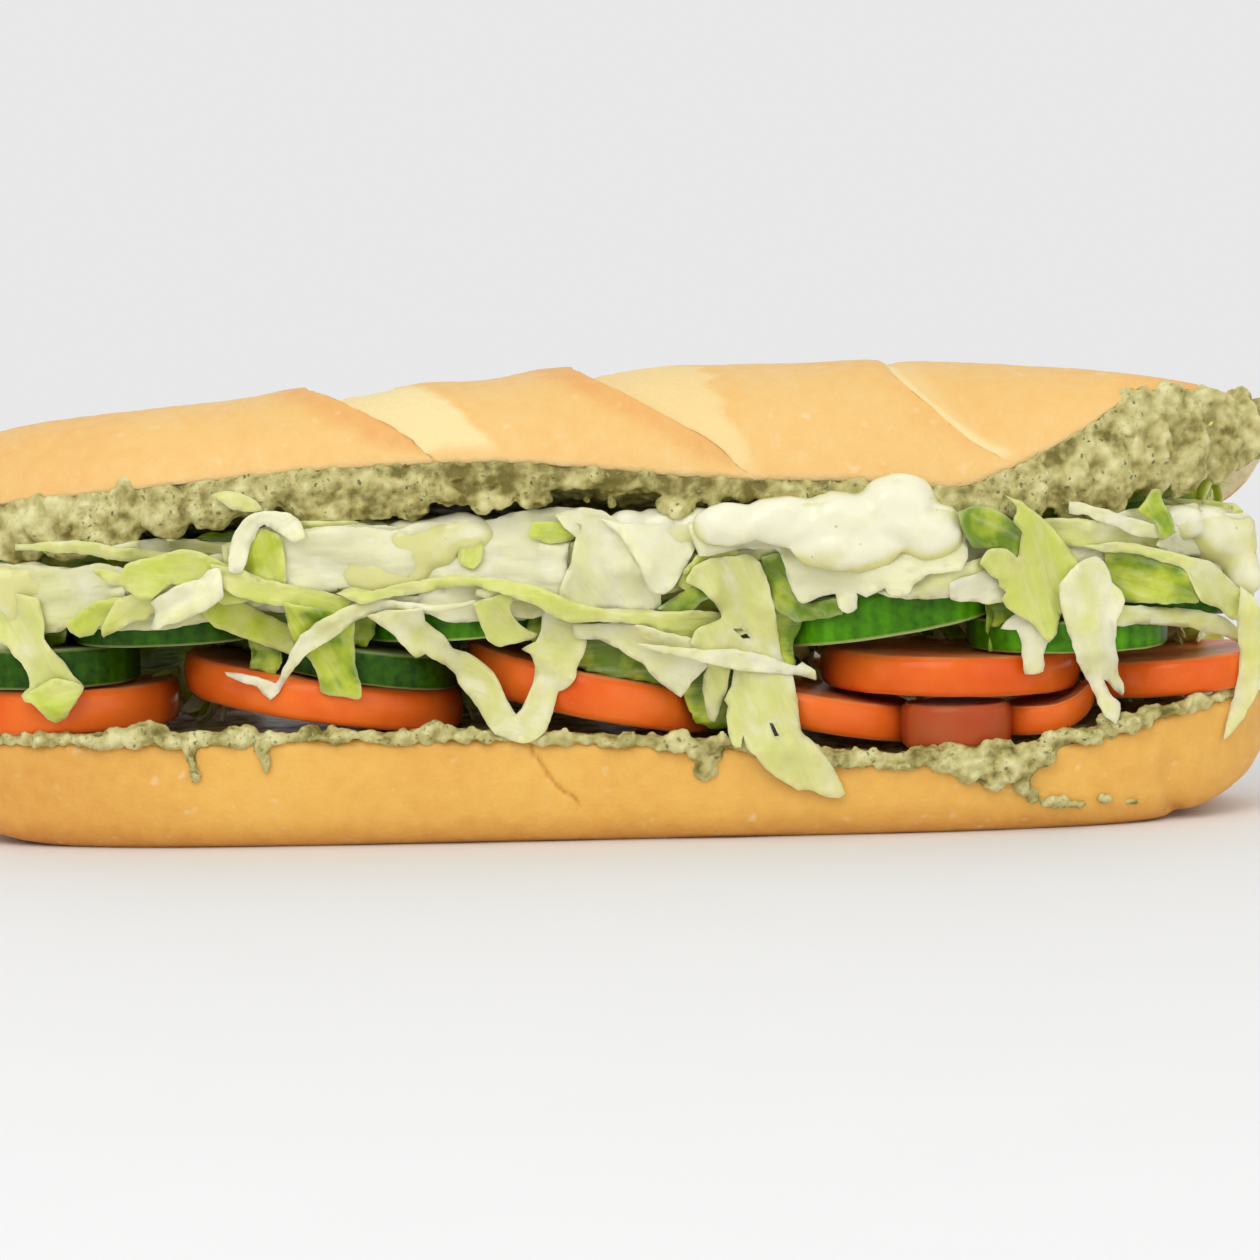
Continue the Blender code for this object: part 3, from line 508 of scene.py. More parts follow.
def make_piece(name: str, points: list, faces: list, material: Finish,
               values: dict | None = None) -> Piece:
    """Make a smooth-shaded object from points in millimetres.

    Args:
        name: The piece's name.
        points: Places of its vertices.
        faces: Vertex numbers of each face.
        material: Its finish.
        values: Point attributes, each a list of one number a vertex.

    Returns:
        The new object, linked to the scene.
    """
    mesh = bpy.data.meshes.new(name)
    mesh.from_pydata(np.asarray(points) * MM, [], faces)
    mesh.validate()
    for key, numbers in (values or {}).items():
        attribute = mesh.attributes.new(key, "FLOAT", "POINT")
        attribute.data.foreach_set("value", np.asarray(numbers, dtype=np.float32))
    mesh.polygons.foreach_set("use_smooth", [True] * len(mesh.polygons))
    mesh.materials.append(material)
    mesh.update()
    return new_object(name, mesh)


def places(piece: Piece) -> np.ndarray:
    """A piece's vertex places in millimetres."""
    found = np.empty(len(piece.data.vertices) * 3)
    piece.data.vertices.foreach_get("co", found)
    return found.reshape(-1, 3) / MM


def move(piece: Piece, points: np.ndarray) -> None:
    """Put a piece's vertices at new places in millimetres."""
    piece.data.vertices.foreach_set("co", (points * MM).astype(np.float32).ravel())
    piece.data.update()


def swell(piece: Piece, amounts: list) -> None:
    """Move each vertex of a piece out along its normal by an amount in millimetres."""
    normals = np.empty(len(piece.data.vertices) * 3)
    piece.data.vertices.foreach_get("normal", normals)
    move(piece, places(piece) + normals.reshape(-1, 3) * np.asarray(amounts)[:, None])


def set_values(piece: Piece, key: str, numbers: list) -> None:
    """Give each vertex of a piece a number that its material reads."""
    attribute = piece.data.attributes.get(key) or piece.data.attributes.new(key, "FLOAT", "POINT")
    attribute.data.foreach_set("value", np.asarray(numbers, dtype=np.float32))


def face_outwards(piece: Piece) -> None:
    """Turn every face of a closed mesh to point out.

    Args:
        piece: The piece with the mesh.
    """
    work = bmesh.new()
    work.from_mesh(piece.data)
    bmesh.ops.recalc_face_normals(work, faces=work.faces)
    work.to_mesh(piece.data)
    work.free()


def apply_modifiers(piece: Piece) -> None:
    """Replace a piece's mesh by the result of its modifiers, and remove them.

    Args:
        piece: The piece.
    """
    graph = bpy.context.evaluated_depsgraph_get()
    result = bpy.data.meshes.new_from_object(piece.evaluated_get(graph), preserve_all_data_layers=True,
                                             depsgraph=graph)
    piece.modifiers.clear()
    old = piece.data
    piece.data = result
    bpy.data.meshes.remove(old)


def melt(piece: Piece, voxel: float, rounds: int) -> None:
    """Flow a piece's overlapping forms into one closed skin.

    Args:
        piece: The piece whose mesh holds the forms.
        voxel: Size of the grid in millimetres.
        rounds: How many times the skin is smoothed.
    """
    remesh = piece.modifiers.new("melt", "REMESH")
    remesh.mode = "VOXEL"
    remesh.voxel_size = voxel * MM
    remesh.use_smooth_shade = True
    if rounds:
        even = piece.modifiers.new("even", "SMOOTH")
        even.iterations = rounds
        even.factor = 0.5
    apply_modifiers(piece)
    piece.data.polygons.foreach_set("use_smooth", [True] * len(piece.data.polygons))


def hand_over(piece: Piece, nodes: tuple = ()) -> None:
    """Ride a finished piece on the body, and let it stand for its CAD nodes.

    Args:
        piece: The piece.
        nodes: The CAD nodes.
    """
    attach(piece, BODY)
    if nodes:
        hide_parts(*nodes)
    LOG.info("%s: %d faces for %s", piece.name, len(piece.data.polygons), ", ".join(nodes) or "detail")


def loft(rings: list, start: tuple, end: tuple) -> tuple:
    """Join rings of points into a closed skin with a pole at each end.

    Args:
        rings: Rings with the same number of points.
        start: Place of the first pole.
        end: Place of the last pole.

    Returns:
        The points and the faces.
    """
    count = len(rings[0])
    points = [point for ring in rings for point in ring] + [start, end]
    first, last = len(points) - 2, len(points) - 1
    faces = []
    for index in range(len(rings) - 1):
        for step in range(count):
            a, b = index * count + step, index * count + (step + 1) % count
            faces.append((a, b, b + count, a + count))
    row = (len(rings) - 1) * count
    for step in range(count):
        beside = (step + 1) % count
        faces.append((beside, step, first))
        faces.append((row + step, row + beside, last))
    return points, faces


def copy_piece(piece: Piece, name: str) -> Piece:
    """Copy a piece without what ties the original to its body and slot.

    Args:
        piece: The original.
        name: The copy's name.

    Returns:
        The copy, linked to the scene.
    """
    made = piece.copy()
    made.data = piece.data.copy()
    made.name = name
    for key in list(made.keys()):
        del made[key]
    made.parent = None
    bpy.context.scene.collection.objects.link(made)
    return made


def search_tree(piece: Piece) -> BVHTree:
    """Search tree of a piece's faces."""
    return BVHTree.FromPolygons([vertex.co for vertex in piece.data.vertices],
                                [tuple(face.vertices) for face in piece.data.polygons])


@dataclass
class Scatter:
    """Small things scattered over a skin with Geometry Nodes.

    Its amounts are the group's named inputs, its sizes and tilt the limits of the random draw, and its seeds
    are for the places, the sizes and the turns. With pick, each place takes one of a collection's things.
    """
    name: str
    amounts: dict
    sizes: tuple
    tilt: float
    seeds: tuple
    pick: bool = False
    tree: bpy.types.NodeTree = field(init=False)
    source: object = field(init=False)

    def __post_init__(self) -> None:
        """Start the node group with its named inputs."""
        self.tree = bpy.data.node_groups.new(self.name, "GeometryNodeTree")
        self.tree.interface.new_socket("Geometry", in_out="INPUT", socket_type="NodeSocketGeometry")
        for key in self.amounts:
            self.tree.interface.new_socket(key, in_out="INPUT", socket_type="NodeSocketFloat")
        self.tree.interface.new_socket("Geometry", in_out="OUTPUT", socket_type="NodeSocketGeometry")
        self.source = add_node(self.tree, "NodeGroupInput").outputs

    def cover(self, piece: Piece, density: object, thing: object, material: object) -> None:
        """Scatter over a piece's skin and leave only what was scattered, as real meshes.

        Args:
            piece: A copy of the skin.
            density: Output that gives the number to an area.
            thing: Node that gives the thing or the collection.
            material: Its finish.
        """
        tree, tilt = self.tree, self.tilt
        points = add_node(tree, "GeometryNodeDistributePointsOnFaces",
                          {"Mesh": self.source["Geometry"], "Density": density, "Seed": self.seeds[0]},
                          distribute_method="RANDOM")
        size = add_node(tree, "FunctionNodeRandomValue",
                        {2: self.sizes[0], 3: self.sizes[1], "Seed": self.seeds[1]}, data_type="FLOAT")
        turn = add_node(tree, "FunctionNodeRandomValue",
                        {0: (-tilt, -tilt, 0.0), 1: (tilt, tilt, 6.28), "Seed": self.seeds[2]},
                        data_type="FLOAT_VECTOR")
        turned = add_node(tree, "FunctionNodeRotateRotation",
                          {"Rotation": points.outputs["Rotation"], "Rotate By": turn}, rotation_space="LOCAL")
        placed = add_node(tree, "GeometryNodeInstanceOnPoints",
                          {"Points": points, "Instance": thing, "Pick Instance": self.pick,
                           "Rotation": turned, "Scale": size})
        real = add_node(tree, "GeometryNodeRealizeInstances", {"Geometry": placed})
        dressed = add_node(tree, "GeometryNodeSetMaterial", {"Geometry": real, "Material": material})
        add_node(tree, "NodeGroupOutput", {"Geometry": dressed})
        modifier = piece.modifiers.new("scatter", "NODES")
        modifier.node_group = tree
        for item in tree.interface.items_tree:
            if item.name in self.amounts:
                modifier[item.identifier] = self.amounts[item.name]
        apply_modifiers(piece)


@dataclass(frozen=True)
class Cut:
    """A slash across the crust, from its place on the crest to its place on the front edge.

    The dip beside it is band wide on the crest. The torn strip is foot wide at the front edge and top wide
    on the crest; torn and depth say how strong both are.
    """
    crest_x: float
    front_x: float
    band: float
    foot: float
    top: float
    torn: float
    depth: float = 1.0


@dataclass(frozen=True)
class Roll:
    """The soft roll: two halves, the upper one raised at the front and slashed three times."""
    half_length: float = 132.0
    half_depth: float = 37.0
    lower_rim_front: tuple = ((-132, 20.5), (-93, 20.9), (-56, 21.0), (-18, 20.5), (27, 17.6), (57, 14.3),
                              (90, 16.7), (114, 22.4), (132, 24.0))
    lower_rim_back: float = 21.5
    upper_edge_front: tuple = ((-132, 65.0), (-112, 67.1), (-93, 68.6), (-56, 72.0), (-18, 73.0), (27, 68.7),
                               (57, 67.6), (68, 66.2), (76, 68.2), (92, 75.8), (105, 83.4), (132, 83.5))
    upper_edge_back: tuple = ((-132, 45.0), (-60, 46.0), (80, 46.5), (117, 52.0), (132, 53.0))
    upper_crest: tuple = ((-132, 80.5), (-112, 81.3), (-56, 85.4), (-8, 88.2), (40, 89.2), (76, 88.3),
                          (112, 85.8), (132, 84.5))
    tip_left: float = 60.0
    tip_right: float = 72.0
    cuts: tuple = (Cut(-54, -29, 24, 14, 21, 0.95), Cut(-3, 31, 19, 1, 25, 0.6),
                   Cut(57, 80, 8, 0.5, 6, 0.3, 0.4))
    crest_angle: float = 1.0
    last_angle: float = 2.3
    sag: float = 2.6
    foot: float = 0.9
    lower_power: float = 3.0
    upper_power: float = 2.5

    def taper(self, x: float, power: float) -> float:
        """1 along the roll, falling to 0 at its two tips."""
        return math.sqrt(max(0.0, 1 - abs(x / self.half_length) ** power))

    def width(self, x: float) -> float:
        """Half of the roll's depth at a place along it."""
        return self.half_depth * self.taper(x, 4)

    def across(self, y: float, x: float) -> float:
        """Fraction of the way from the front rim to the back rim."""
        return min(max(0.5 + y / (2 * self.width(x) + 1e-9), 0.0), 1.0)

    def lower_rim(self, x: float, y: float) -> float:
        """Height of the lower half's rim."""
        t = self.across(y, x)
        return smooth(self.lower_rim_front, x) * (1 - t) + self.lower_rim_back * t

    def lower_cut(self, x: float, y: float) -> float:
        """Height of the lower half's cut face, pressed down by the filling."""
        t = self.across(y, x)
        return self.lower_rim(x, y) - self.sag * ease(8 * t * (1 - t)) * self.taper(x, 12)

    def at_tip(self, x: float, inner: float) -> float:
        """Bring a height on the upper half to its tip's height at the roll's ends."""
        tip = self.tip_left if x < 0 else self.tip_right
        return tip + (inner - tip) * self.taper(x, 12)

    def upper_cut(self, x: float, y: float) -> float:
        """Height of the upper half's underside.

        Args:
            x: Place along the roll.
            y: Place across it.

        Returns:
            The height in millimetres.
        """
        t = self.across(y, x)
        front = self.at_tip(x, smooth(self.upper_edge_front, x))
        back = self.at_tip(x, smooth(self.upper_edge_back, x))
        return front * (1 - t) + back * t

    def dome(self, x: float, front: float, back: float, width: float) -> float:
        """Height of the dome over its sloping chord that puts its top on the crest line.

        Args:
            x: Place along the roll.
            front: Height of the front edge.
            back: Height of the back edge.
            width: Half of the roll's depth there.

        Returns:
            The height over the middle of the chord.
        """
        power = self.upper_power / (self.upper_power - 1)
        crest = self.at_tip(x, smooth(self.upper_crest, x))
        drop = (front - back) / 2
        slope = math.cos(math.atan2(drop, width))
        over = max(crest - (front + back) / 2, abs(drop) + 0.5)
        return max((over ** power - abs(drop) ** power) ** (1 / power) / slope, 6.0 * self.taper(x, 4))


ROLL = Roll()


@dataclass
class Bread:
    """Both halves of the roll as crusts with their slashes, wrinkles and torn edges."""
    roll: Roll = ROLL
    lower_finish: BakedCrust = BakedCrust(pale="#EBC67C", gold="#EBB758", brown="#D08A38")
    upper_finish: BakedCrust = BakedCrust()
    steps_along: int = 250
    wall_steps: int = 84
    dome_steps: int = 110
    cut_steps: int = 26
    fullness: float = 10.0
    crack_start: float = -19.0
    cut_bake: float = 0.3
    tip_bake: float = 0.7

    def stations(self) -> list:
        """Places along the roll, closer together towards the rounded tips."""
        half, count = self.roll.half_length, self.steps_along
        return [half * math.sin(math.pi * (step / count - 0.5)) * 0.6 + half * (2 * step / count - 1) * 0.4
                for step in range(1, count)]

    def rise(self, angle: float) -> float:
        """How far up the front of the dome an angle is: 1 on the crest, and more behind it."""
        crest = self.roll.crest_angle
        if angle < crest:
            return math.sin(angle / crest * math.pi / 2) ** 0.9
        return 1 + 0.8 * (angle - crest)

    def slant(self, place: float, angle: float) -> float:
        """Shift the grid along the roll so that its columns run with the slashes.

        Args:
            place: Where the column starts at the front edge.
            angle: Angle round the dome.

        Returns:
            The column's place along the roll at that angle.
        """
        last = self.roll.last_angle
        lean = smooth(((-132, 0), (-29, 25), (31, 34), (80, 23), (132, 0)), place)
        rise = self.rise(min(angle, last))
        return place - lean * rise * ease((math.pi - angle) / (math.pi - last))

    def slash(self, x: float, angle: float) -> tuple:
        """The slashes' relief and colour at a place on the dome.

        Args:
            x: Place along the roll.
            angle: Angle round the dome from its front edge.

        Returns:
            Height over the crust, push along the roll, and how torn the surface is.
        """
        height = push = torn = 0.0
        for number, cut in enumerate(self.roll.cuts):
            rise = self.rise(angle)
            wander = 1.3 * wave(angle * 2.4, number * 7.7, 0.3)
            wander += 0.35 * wave(angle * 11.0, number * 7.7, 4.3)
            beyond = x - (cut.front_x + (cut.crest_x - cut.front_x) * rise) + wander
            fade = ease(angle / 0.1) * ease((self.roll.last_angle - angle) / 0.5)
            band = 3.0 + cut.band * min(rise, 1.0)
            step = ease(beyond / 1.6 + 0.5)
            lip = 1.5 * math.exp(-(min(beyond, 0.0) / 8.0) ** 2) * (1 - step)
            height += cut.depth * fade * (lip - 2.0 * step * (1 - ease(beyond / band)))
            push += cut.depth * fade * 0.7 * math.exp(-(beyond / 1.2) ** 2)
            far = cut.foot + (cut.top - cut.foot) * min(rise, 1.0)
            far *= 1 + 0.16 * wave(angle * 7.0, number * 3.1, 8.0)
            edge = fade * step
            torn = max(torn, cut.torn * edge * (1 - ease((beyond - far) / 1.8 + 0.5)),
                       0.85 * edge * (1 - ease((beyond - 2.6) / 2.0 + 0.5)))
            height += (0.5 * cut.torn * edge * ease((beyond - far) / 1.6 + 0.5)
                       * (1 - ease((beyond - far) / 9.0)))
        return height, push, torn

    def cut_row(self, x: float, height: object) -> list:
        """Points over a cut face at a place along the roll, from the back to the front."""
        rows = [self.roll.width(x) * (1 - 2 * step / self.cut_steps) for step in range(1, self.cut_steps)]
        return [(x, y, height(x, y)) for y in rows]

    def lower(self) -> Piece:
        """The lower half: a flat foot, a round wall and a sagging cut face."""
        roll = self.roll
        rings, crumb, bake = [], [], []
        for x in sorted(self.stations() + [self.crack_start + 0.37 * step for step in range(44)]):
            width = roll.width(x)
            ring = []
            for step in range(self.wall_steps + 1):
                angle = math.pi * step / self.wall_steps
                y = -width * full_cosine(angle, self.fullness)
                rim = roll.lower_rim(x, y)
                depth = roll.taper(x, 12) * math.sin(angle) ** (2 / roll.lower_power)
                z = max(0.0, (rim * (1 - depth) - roll.foot) * rim / (rim - roll.foot))
                ring.append((x, y, z))
                crumb.append(0.0)
                low = 1 - ease(z / 7.0)
                # Painted shade: the crust is browner along the fine crack in its front
                line = 0.35 * self.crack(x, z) if y < 0 else 0.0
                bake.append(0.5 + 0.28 * low + 0.22 * ease((-x - 60) / 70) + 0.12 * ease((x - 95) / 40)
                            + line)
            open_face = self.cut_row(x, roll.lower_cut)
            crumb += [1.0] * len(open_face)
            bake += [self.cut_bake] * len(open_face)
            rings.append(ring + open_face)
        tips = [(side * roll.half_length, 0, roll.lower_rim(side * (roll.half_length - 1), 0) - 1)
                for side in (-1, 1)]
        crumb += [0.0, 0.0]
        bake += [self.tip_bake] * 2
        points, faces = loft(rings, *tips)
        half = make_piece("crust_lower", points, faces, self.lower_finish.build("baked crust, lower half"),
                          {"crumb": crumb, "bake": bake, "torn": [0.0] * len(points)})
        face_outwards(half)
        swell(half, [self.lower_relief(point, open_face) for point, open_face in zip(points, crumb)])
        kept = places(half)
        kept[:, 2] = np.maximum(kept[:, 2], 0.0)
        move(half, kept)
        return half

    def crack(self, x: float, z: float) -> float:
        """1 along the fine crack in the front of the lower crust, and 0 away from it."""
        aside = x - (-13.2 + (18.3 - z) * 0.84) + 1.2 * rough((x, 0, z), 5.0)
        return math.exp(-(aside / 0.5) ** 2) * ease((z - 6) / 3) * ease((20 - z) / 2)

    def lower_relief(self, point: tuple, open_face: float) -> float:
        """Dents, a fine crack and the folded end of the lower crust.

        Args:
            point: Place on the crust.
            open_face: 1 on the cut face.

        Returns:
            How far the crust stands out there.
        """
        x, y, z = point
        if open_face:
            return 0.35 * rough(point, 3.0)
        relief = 0.55 * rough(point, 26.0, 2) + 0.12 * rough(point, 4.0)
        if y < 0:
            relief -= 0.7 * self.crack(x, z)
            fold = x - 111.0 + 0.12 * z
            relief -= 1.6 * math.exp(-(fold / 2.2) ** 2) * ease((16 - z) / 8)
        return relief * ease(z / 1.5)

    def upper(self) -> Piece:
        """The upper half: a slashed dome over a flat cut face, tilted towards the back."""
        roll = self.roll
        rings, crumb, bake, torn = [], [], [], []
        columns = self.stations()
        for cut in roll.cuts:
            columns += [cut.front_x + 0.45 * step for step in range(-7, 8)]
        for place in sorted(columns):
            ring = []
            for step in range(self.dome_steps + 1):
                angle = math.pi * step / self.dome_steps
                x = self.slant(place, angle)
                width = roll.width(x)
                front, back = roll.upper_cut(x, -width), roll.upper_cut(x, width)
                height = roll.dome(x, front, back, width)
                tilt = math.atan2(front - back, 2 * width)
                chord = math.hypot(front - back, 2 * width) / 2
                middle = (front + back) / 2
                along = -chord * full_cosine(angle, roll.upper_power)
                up = height * math.sin(angle) ** (2 / roll.upper_power)
                relief, push, open_crust = self.slash(x, angle)
                share = min(1.0, up / 4)
                up += relief * share
                ring.append((x + push * share, along * math.cos(tilt) + up * math.sin(tilt),
                             middle - along * math.sin(tilt) + up * math.cos(tilt)))
                crumb.append(0.3 * (1 - ease((angle - 0.005) / 0.02)))
                torn.append(open_crust * share)
                ends = ease((-x - 50) / 90) * 0.12 + ease((x - 85) / 45) * 0.30
                bake.append(0.42 + ends + 0.32 * ease((relief - 0.2) / 1.0))
            open_face = self.cut_row(place, roll.upper_cut)
            crumb += [1.0] * len(open_face)
            bake += [self.cut_bake] * len(open_face)
            torn += [0.0] * len(open_face)
            rings.append(ring + open_face)
        crumb += [0.0, 0.0]
        bake += [self.tip_bake] * 2
        torn += [0.0, 0.0]
        tips = [(-roll.half_length, 0, roll.tip_left), (roll.half_length, 0, roll.tip_right)]
        points, faces = loft(rings, *tips)
        half = make_piece("crust_upper", points, faces, self.upper_finish.build("baked crust, upper half"),
                          {"crumb": crumb, "bake": bake, "torn": torn})
        face_outwards(half)
        swell(half, [self.upper_relief(point, open_face, open_crust)
                     for point, open_face, open_crust in zip(points, crumb, torn)])
        return half

    def upper_relief(self, point: tuple, open_face: float, torn: float) -> float:
        """Dents over the crust, and stringy flakes where it tore.

        Args:
            point: Place on the crust.
            open_face: 1 on the cut face.
            torn: 1 inside a slash.

        Returns:
            How far the crust stands out there.
        """
        x, y, z = point
        if open_face > 0.9:
            return 0.35 * rough(point, 3.0)
        strings = rough((x + y * 0.45, y * 0.25, z * 0.25), 2.6)
        return 0.5 * rough(point, 30.0, 2) + 0.12 * rough(point, 3.5) + 0.32 * torn * strings

    def build(self) -> None:
        """Build and hand over both halves."""
        hand_over(self.lower(), ("bread_bottom",))
        hand_over(self.upper(), ("bread_top",))


@dataclass(frozen=True)
class Round:
    """A round slice: the middle of its body, its size, and its rise towards +X in degrees."""
    node: str
    x: float
    y: float
    z: float
    radius: float
    thickness: float
    lean: float
    bend: float = 0.0
    peel: float = 1.0
    stretch: float = 1.0
    # How much the whole slice is darkened as painted shade
    dusk: float = 0.0


TOMATOES = (
    Round("tomato_1", -104.8, -6.0, 26.4, 23.8, 8.4, 0.0),
    Round("tomato_2", -53.2, -9.0, 28.1, 27.3, 8.0, -9.0),
    Round("tomato_3", -1, -12.0, 27.9, 24.5, 8.6, -12.0),
    Round("tomato_4", 43.3, -14.0, 23.0, 19.0, 6.8, -11.0),
    Round("tomato_5", 68.5, -10.5, 30.0, 25.5, 7.6, -1.5),
    Round("tomato_6", 112.3, -7.0, 27.9, 18.0, 7.0, 4.0),
    Round("tomato_7", 68.5, -27.0, 20.4, 8.6, 8.6, 0.0, peel=0.6, stretch=1.25, dusk=0.7),
    Round("tomato_8", 86, -19.0, 20.9, 10.0, 5.6, 4.0, bend=4.0),
    Round("tomato_back_1", -79, 23.0, 25.8, 12.0, 6.6, 0.0),
    Round("tomato_back_2", -28, 23.5, 25.8, 12.5, 6.6, 0.0),
    Round("tomato_back_3", 19, 22.5, 25.8, 13.5, 6.6, 0.0),
    Round("tomato_back_4", 53, 25.0, 25.8, 12.3, 6.6, 0.0),
    Round("tomato_back_5", 88, 23.0, 25.8, 12.3, 6.6, 0.0),
)
CUCUMBERS = (
    Round("cucumber_1", -107, -12.0, 34.9, 18.5, 7.6, 0.0, dusk=0.5),
    Round("cucumber_2", -82, -17.0, 42.9, 18.8, 7.2, 1.0, dusk=0.45),
    Round("cucumber_3", -45, -18.0, 34.6, 17.8, 6.4, -9.0, dusk=0.5),
    Round("cucumber_4", -27, -17.0, 42.7, 18.5, 7.0, 2.0),
    Round("cucumber_5", 13, -9.0, 38.5, 19.5, 7.0, -2.0),
    Round("cucumber_6", 56, -17.0, 42.9, 21.0, 9.0, 8.0),
    Round("cucumber_7", 91, -15.0, 37.0, 19.5, 6.0, 0.0),
    Round("cucumber_8", 106, -10.0, 43.9, 18.0, 5.6, -6.0, dusk=0.25),
    Round("cucumber_back_1", -95, 19.5, 34.6, 12.5, 6.4, 3.0),
    Round("cucumber_back_2", -60, 23.5, 36.9, 13.0, 5.6, -9.0),
    Round("cucumber_back_3", -25, 24.8, 34.4, 12.2, 6.4, 2.0),
    Round("cucumber_back_4", 9.5, 24.8, 34.6, 13.0, 6.4, 0.0),
    Round("cucumber_back_5", 42, 20.5, 37.9, 16.0, 6.0, -1.0),
    Round("cucumber_back_6", 80, 20.5, 37.2, 16.0, 6.0, 1.0),
)


@dataclass
class Slices:
    """Round slices of one vegetable, each a closed disc with a rounded rim and uneven cut faces."""
    rounds: tuple
    slot: Slot
    finish: FreshTomato | FreshCucumber
    bulge: float
    corner: float
    sides: int = 120

    def profile(self, cut: Round) -> list:
        """Half of the slice's outline, from the middle of its lower face to the middle of the upper.

        Args:
            cut: The slice.

        Returns:
            Triples of share of the radius, share of the half thickness, and 1 on the cut faces.
        """
        rows = [(share, -1.0, 1.0) for share in (0.12, 0.3, 0.5, 0.68, 0.82, 0.91)]
        corner = self.corner / cut.radius
        for step in range(13):
            level = -1 + 2 * step / 12
            edge = (1 - abs(level) ** 6) ** (1 / 6) if abs(level) < 1 else 0.0
            round_off = (1 - edge) * corner
            share = 1 - self.bulge * abs(level) ** 1.8 - round_off
            rows.append((share, level, 0.0 if abs(level) < 0.93 else 0.8))
        rows += [(share, 1.0, 1.0) for share in (0.91, 0.82, 0.68, 0.5, 0.3, 0.12)]
        return rows

    def slice(self, cut: Round, material: Finish) -> Piece:
        """Build one slice.

        Args:
            cut: The slice.
            material: Its finish.

        Returns:
            The slice as an object.
        """
        lean = math.tan(math.radians(cut.lean))
        half = cut.thickness / 2 / math.cos(math.radians(cut.lean))
        rings, flesh, stripe, middle, dusk = [], [], [], [], []
        rows = self.profile(cut)
        for share, level, open_face in rows:
            ring = []
            for step in range(self.sides):
                angle = 2 * math.pi * step / self.sides
                turn = (math.cos(angle), math.sin(angle), cut.x)
                uneven = 1 + 0.012 * noise.noise(Vector(turn) * 1.3) - 0.008
                radius = cut.radius * share * uneven
                x, y = cut.x + radius * cut.stretch * math.cos(angle), cut.y + radius * math.sin(angle)
                dip = 0.35 * (1 - share ** 2) + 0.12 * noise.noise(Vector((x, y, cut.z)) / 4)
                z = cut.z + (x - cut.x) * lean + level * (half - max(dip, 0.0) * open_face)
                z += cut.bend * max(0.0, (x - cut.x) / cut.radius) ** 2
                ring.append((x, y, z))
                flesh.append(max(open_face, 1 - cut.peel))
                band = 0.5 + 0.5 * math.sin(angle * 34 + 2.6 * noise.noise(Vector(turn) * 3.1))
                broad = 0.5 + 0.5 * noise.noise(Vector(turn) * 2.2 + Vector((5, 0, 0)))
                # Painted shade also dims the stripes of a slice set in shade
                stripe.append((0.12 + 0.35 * band * broad + 0.35 * broad) * (1 - cut.dusk))
                middle.append(ease((0.62 - share) / 0.12))
                # Painted shade: the ends of the side that shows lie against the next slices and are darkened,
                # as are whole slices set in shade
                dusk.append(min(0.8, 0.9 * cut.dusk + 0.45 * ease((abs(math.cos(angle)) - 0.85) / 0.15)))
            rings.append(ring)
        points = [point for ring in rings for point in ring]
        low = (cut.x, cut.y, cut.z - half + 0.35)
        high = (cut.x, cut.y, cut.z + half - 0.35)
        points, faces = loft(rings, low, high)
        flesh += [1.0, 1.0]
        stripe += [0.0, 0.0]
        middle += [1.0, 1.0]
        dusk += [cut.dusk, cut.dusk]
        made = make_piece(cut.node + "_slice", points, faces, material,
                          {"flesh": flesh, "stripe": stripe, "middle": middle, "dusk": dusk})
        face_outwards(made)
        return made

    def build(self) -> None:
        """Build and hand over every slice."""
        material = self.finish.build("fresh " + self.slot.value)
        for cut in self.rounds:
            hand_over(self.slice(cut, material), (cut.node,))


@dataclass(frozen=True)
class Lump:
    """A rounded lump: its middle as seen from the front, and its half sizes along X, Y and Z."""
    x: float
    z: float
    half_x: float
    half_y: float
    half_z: float


def add_ball(work: bmesh.types.BMesh, centre: tuple, halves: tuple, seed: float = 0.0) -> None:
    """Add a slightly uneven rounded lump to a mesh in progress.

    Args:
        work: The mesh in progress, in metres.
        centre: Middle of the lump in millimetres.
        halves: Half sizes in millimetres.
        seed: Place in the noise that makes it uneven.
    """
    made = bmesh.ops.create_icosphere(work, subdivisions=3, radius=1.0)["verts"]
    for vertex in made:
        uneven = 1 + 0.16 * noise.noise(vertex.co * 1.6 + Vector((seed, 0, 0)))
        vertex.co = Vector([(c + v * h * uneven) * MM for c, v, h in zip(centre, vertex.co, halves)])


def from_work(name: str, work: bmesh.types.BMesh, material: Finish) -> Piece:
    """Turn a mesh in progress into an object and free it.

    Args:
        name: The piece's name.
        work: The mesh in progress.
        material: Its finish.

    Returns:
        The new object.
    """
    mesh = bpy.data.meshes.new(name)
    work.to_mesh(mesh)
    work.free()
    mesh.materials.append(material)
    return new_object(name, mesh)


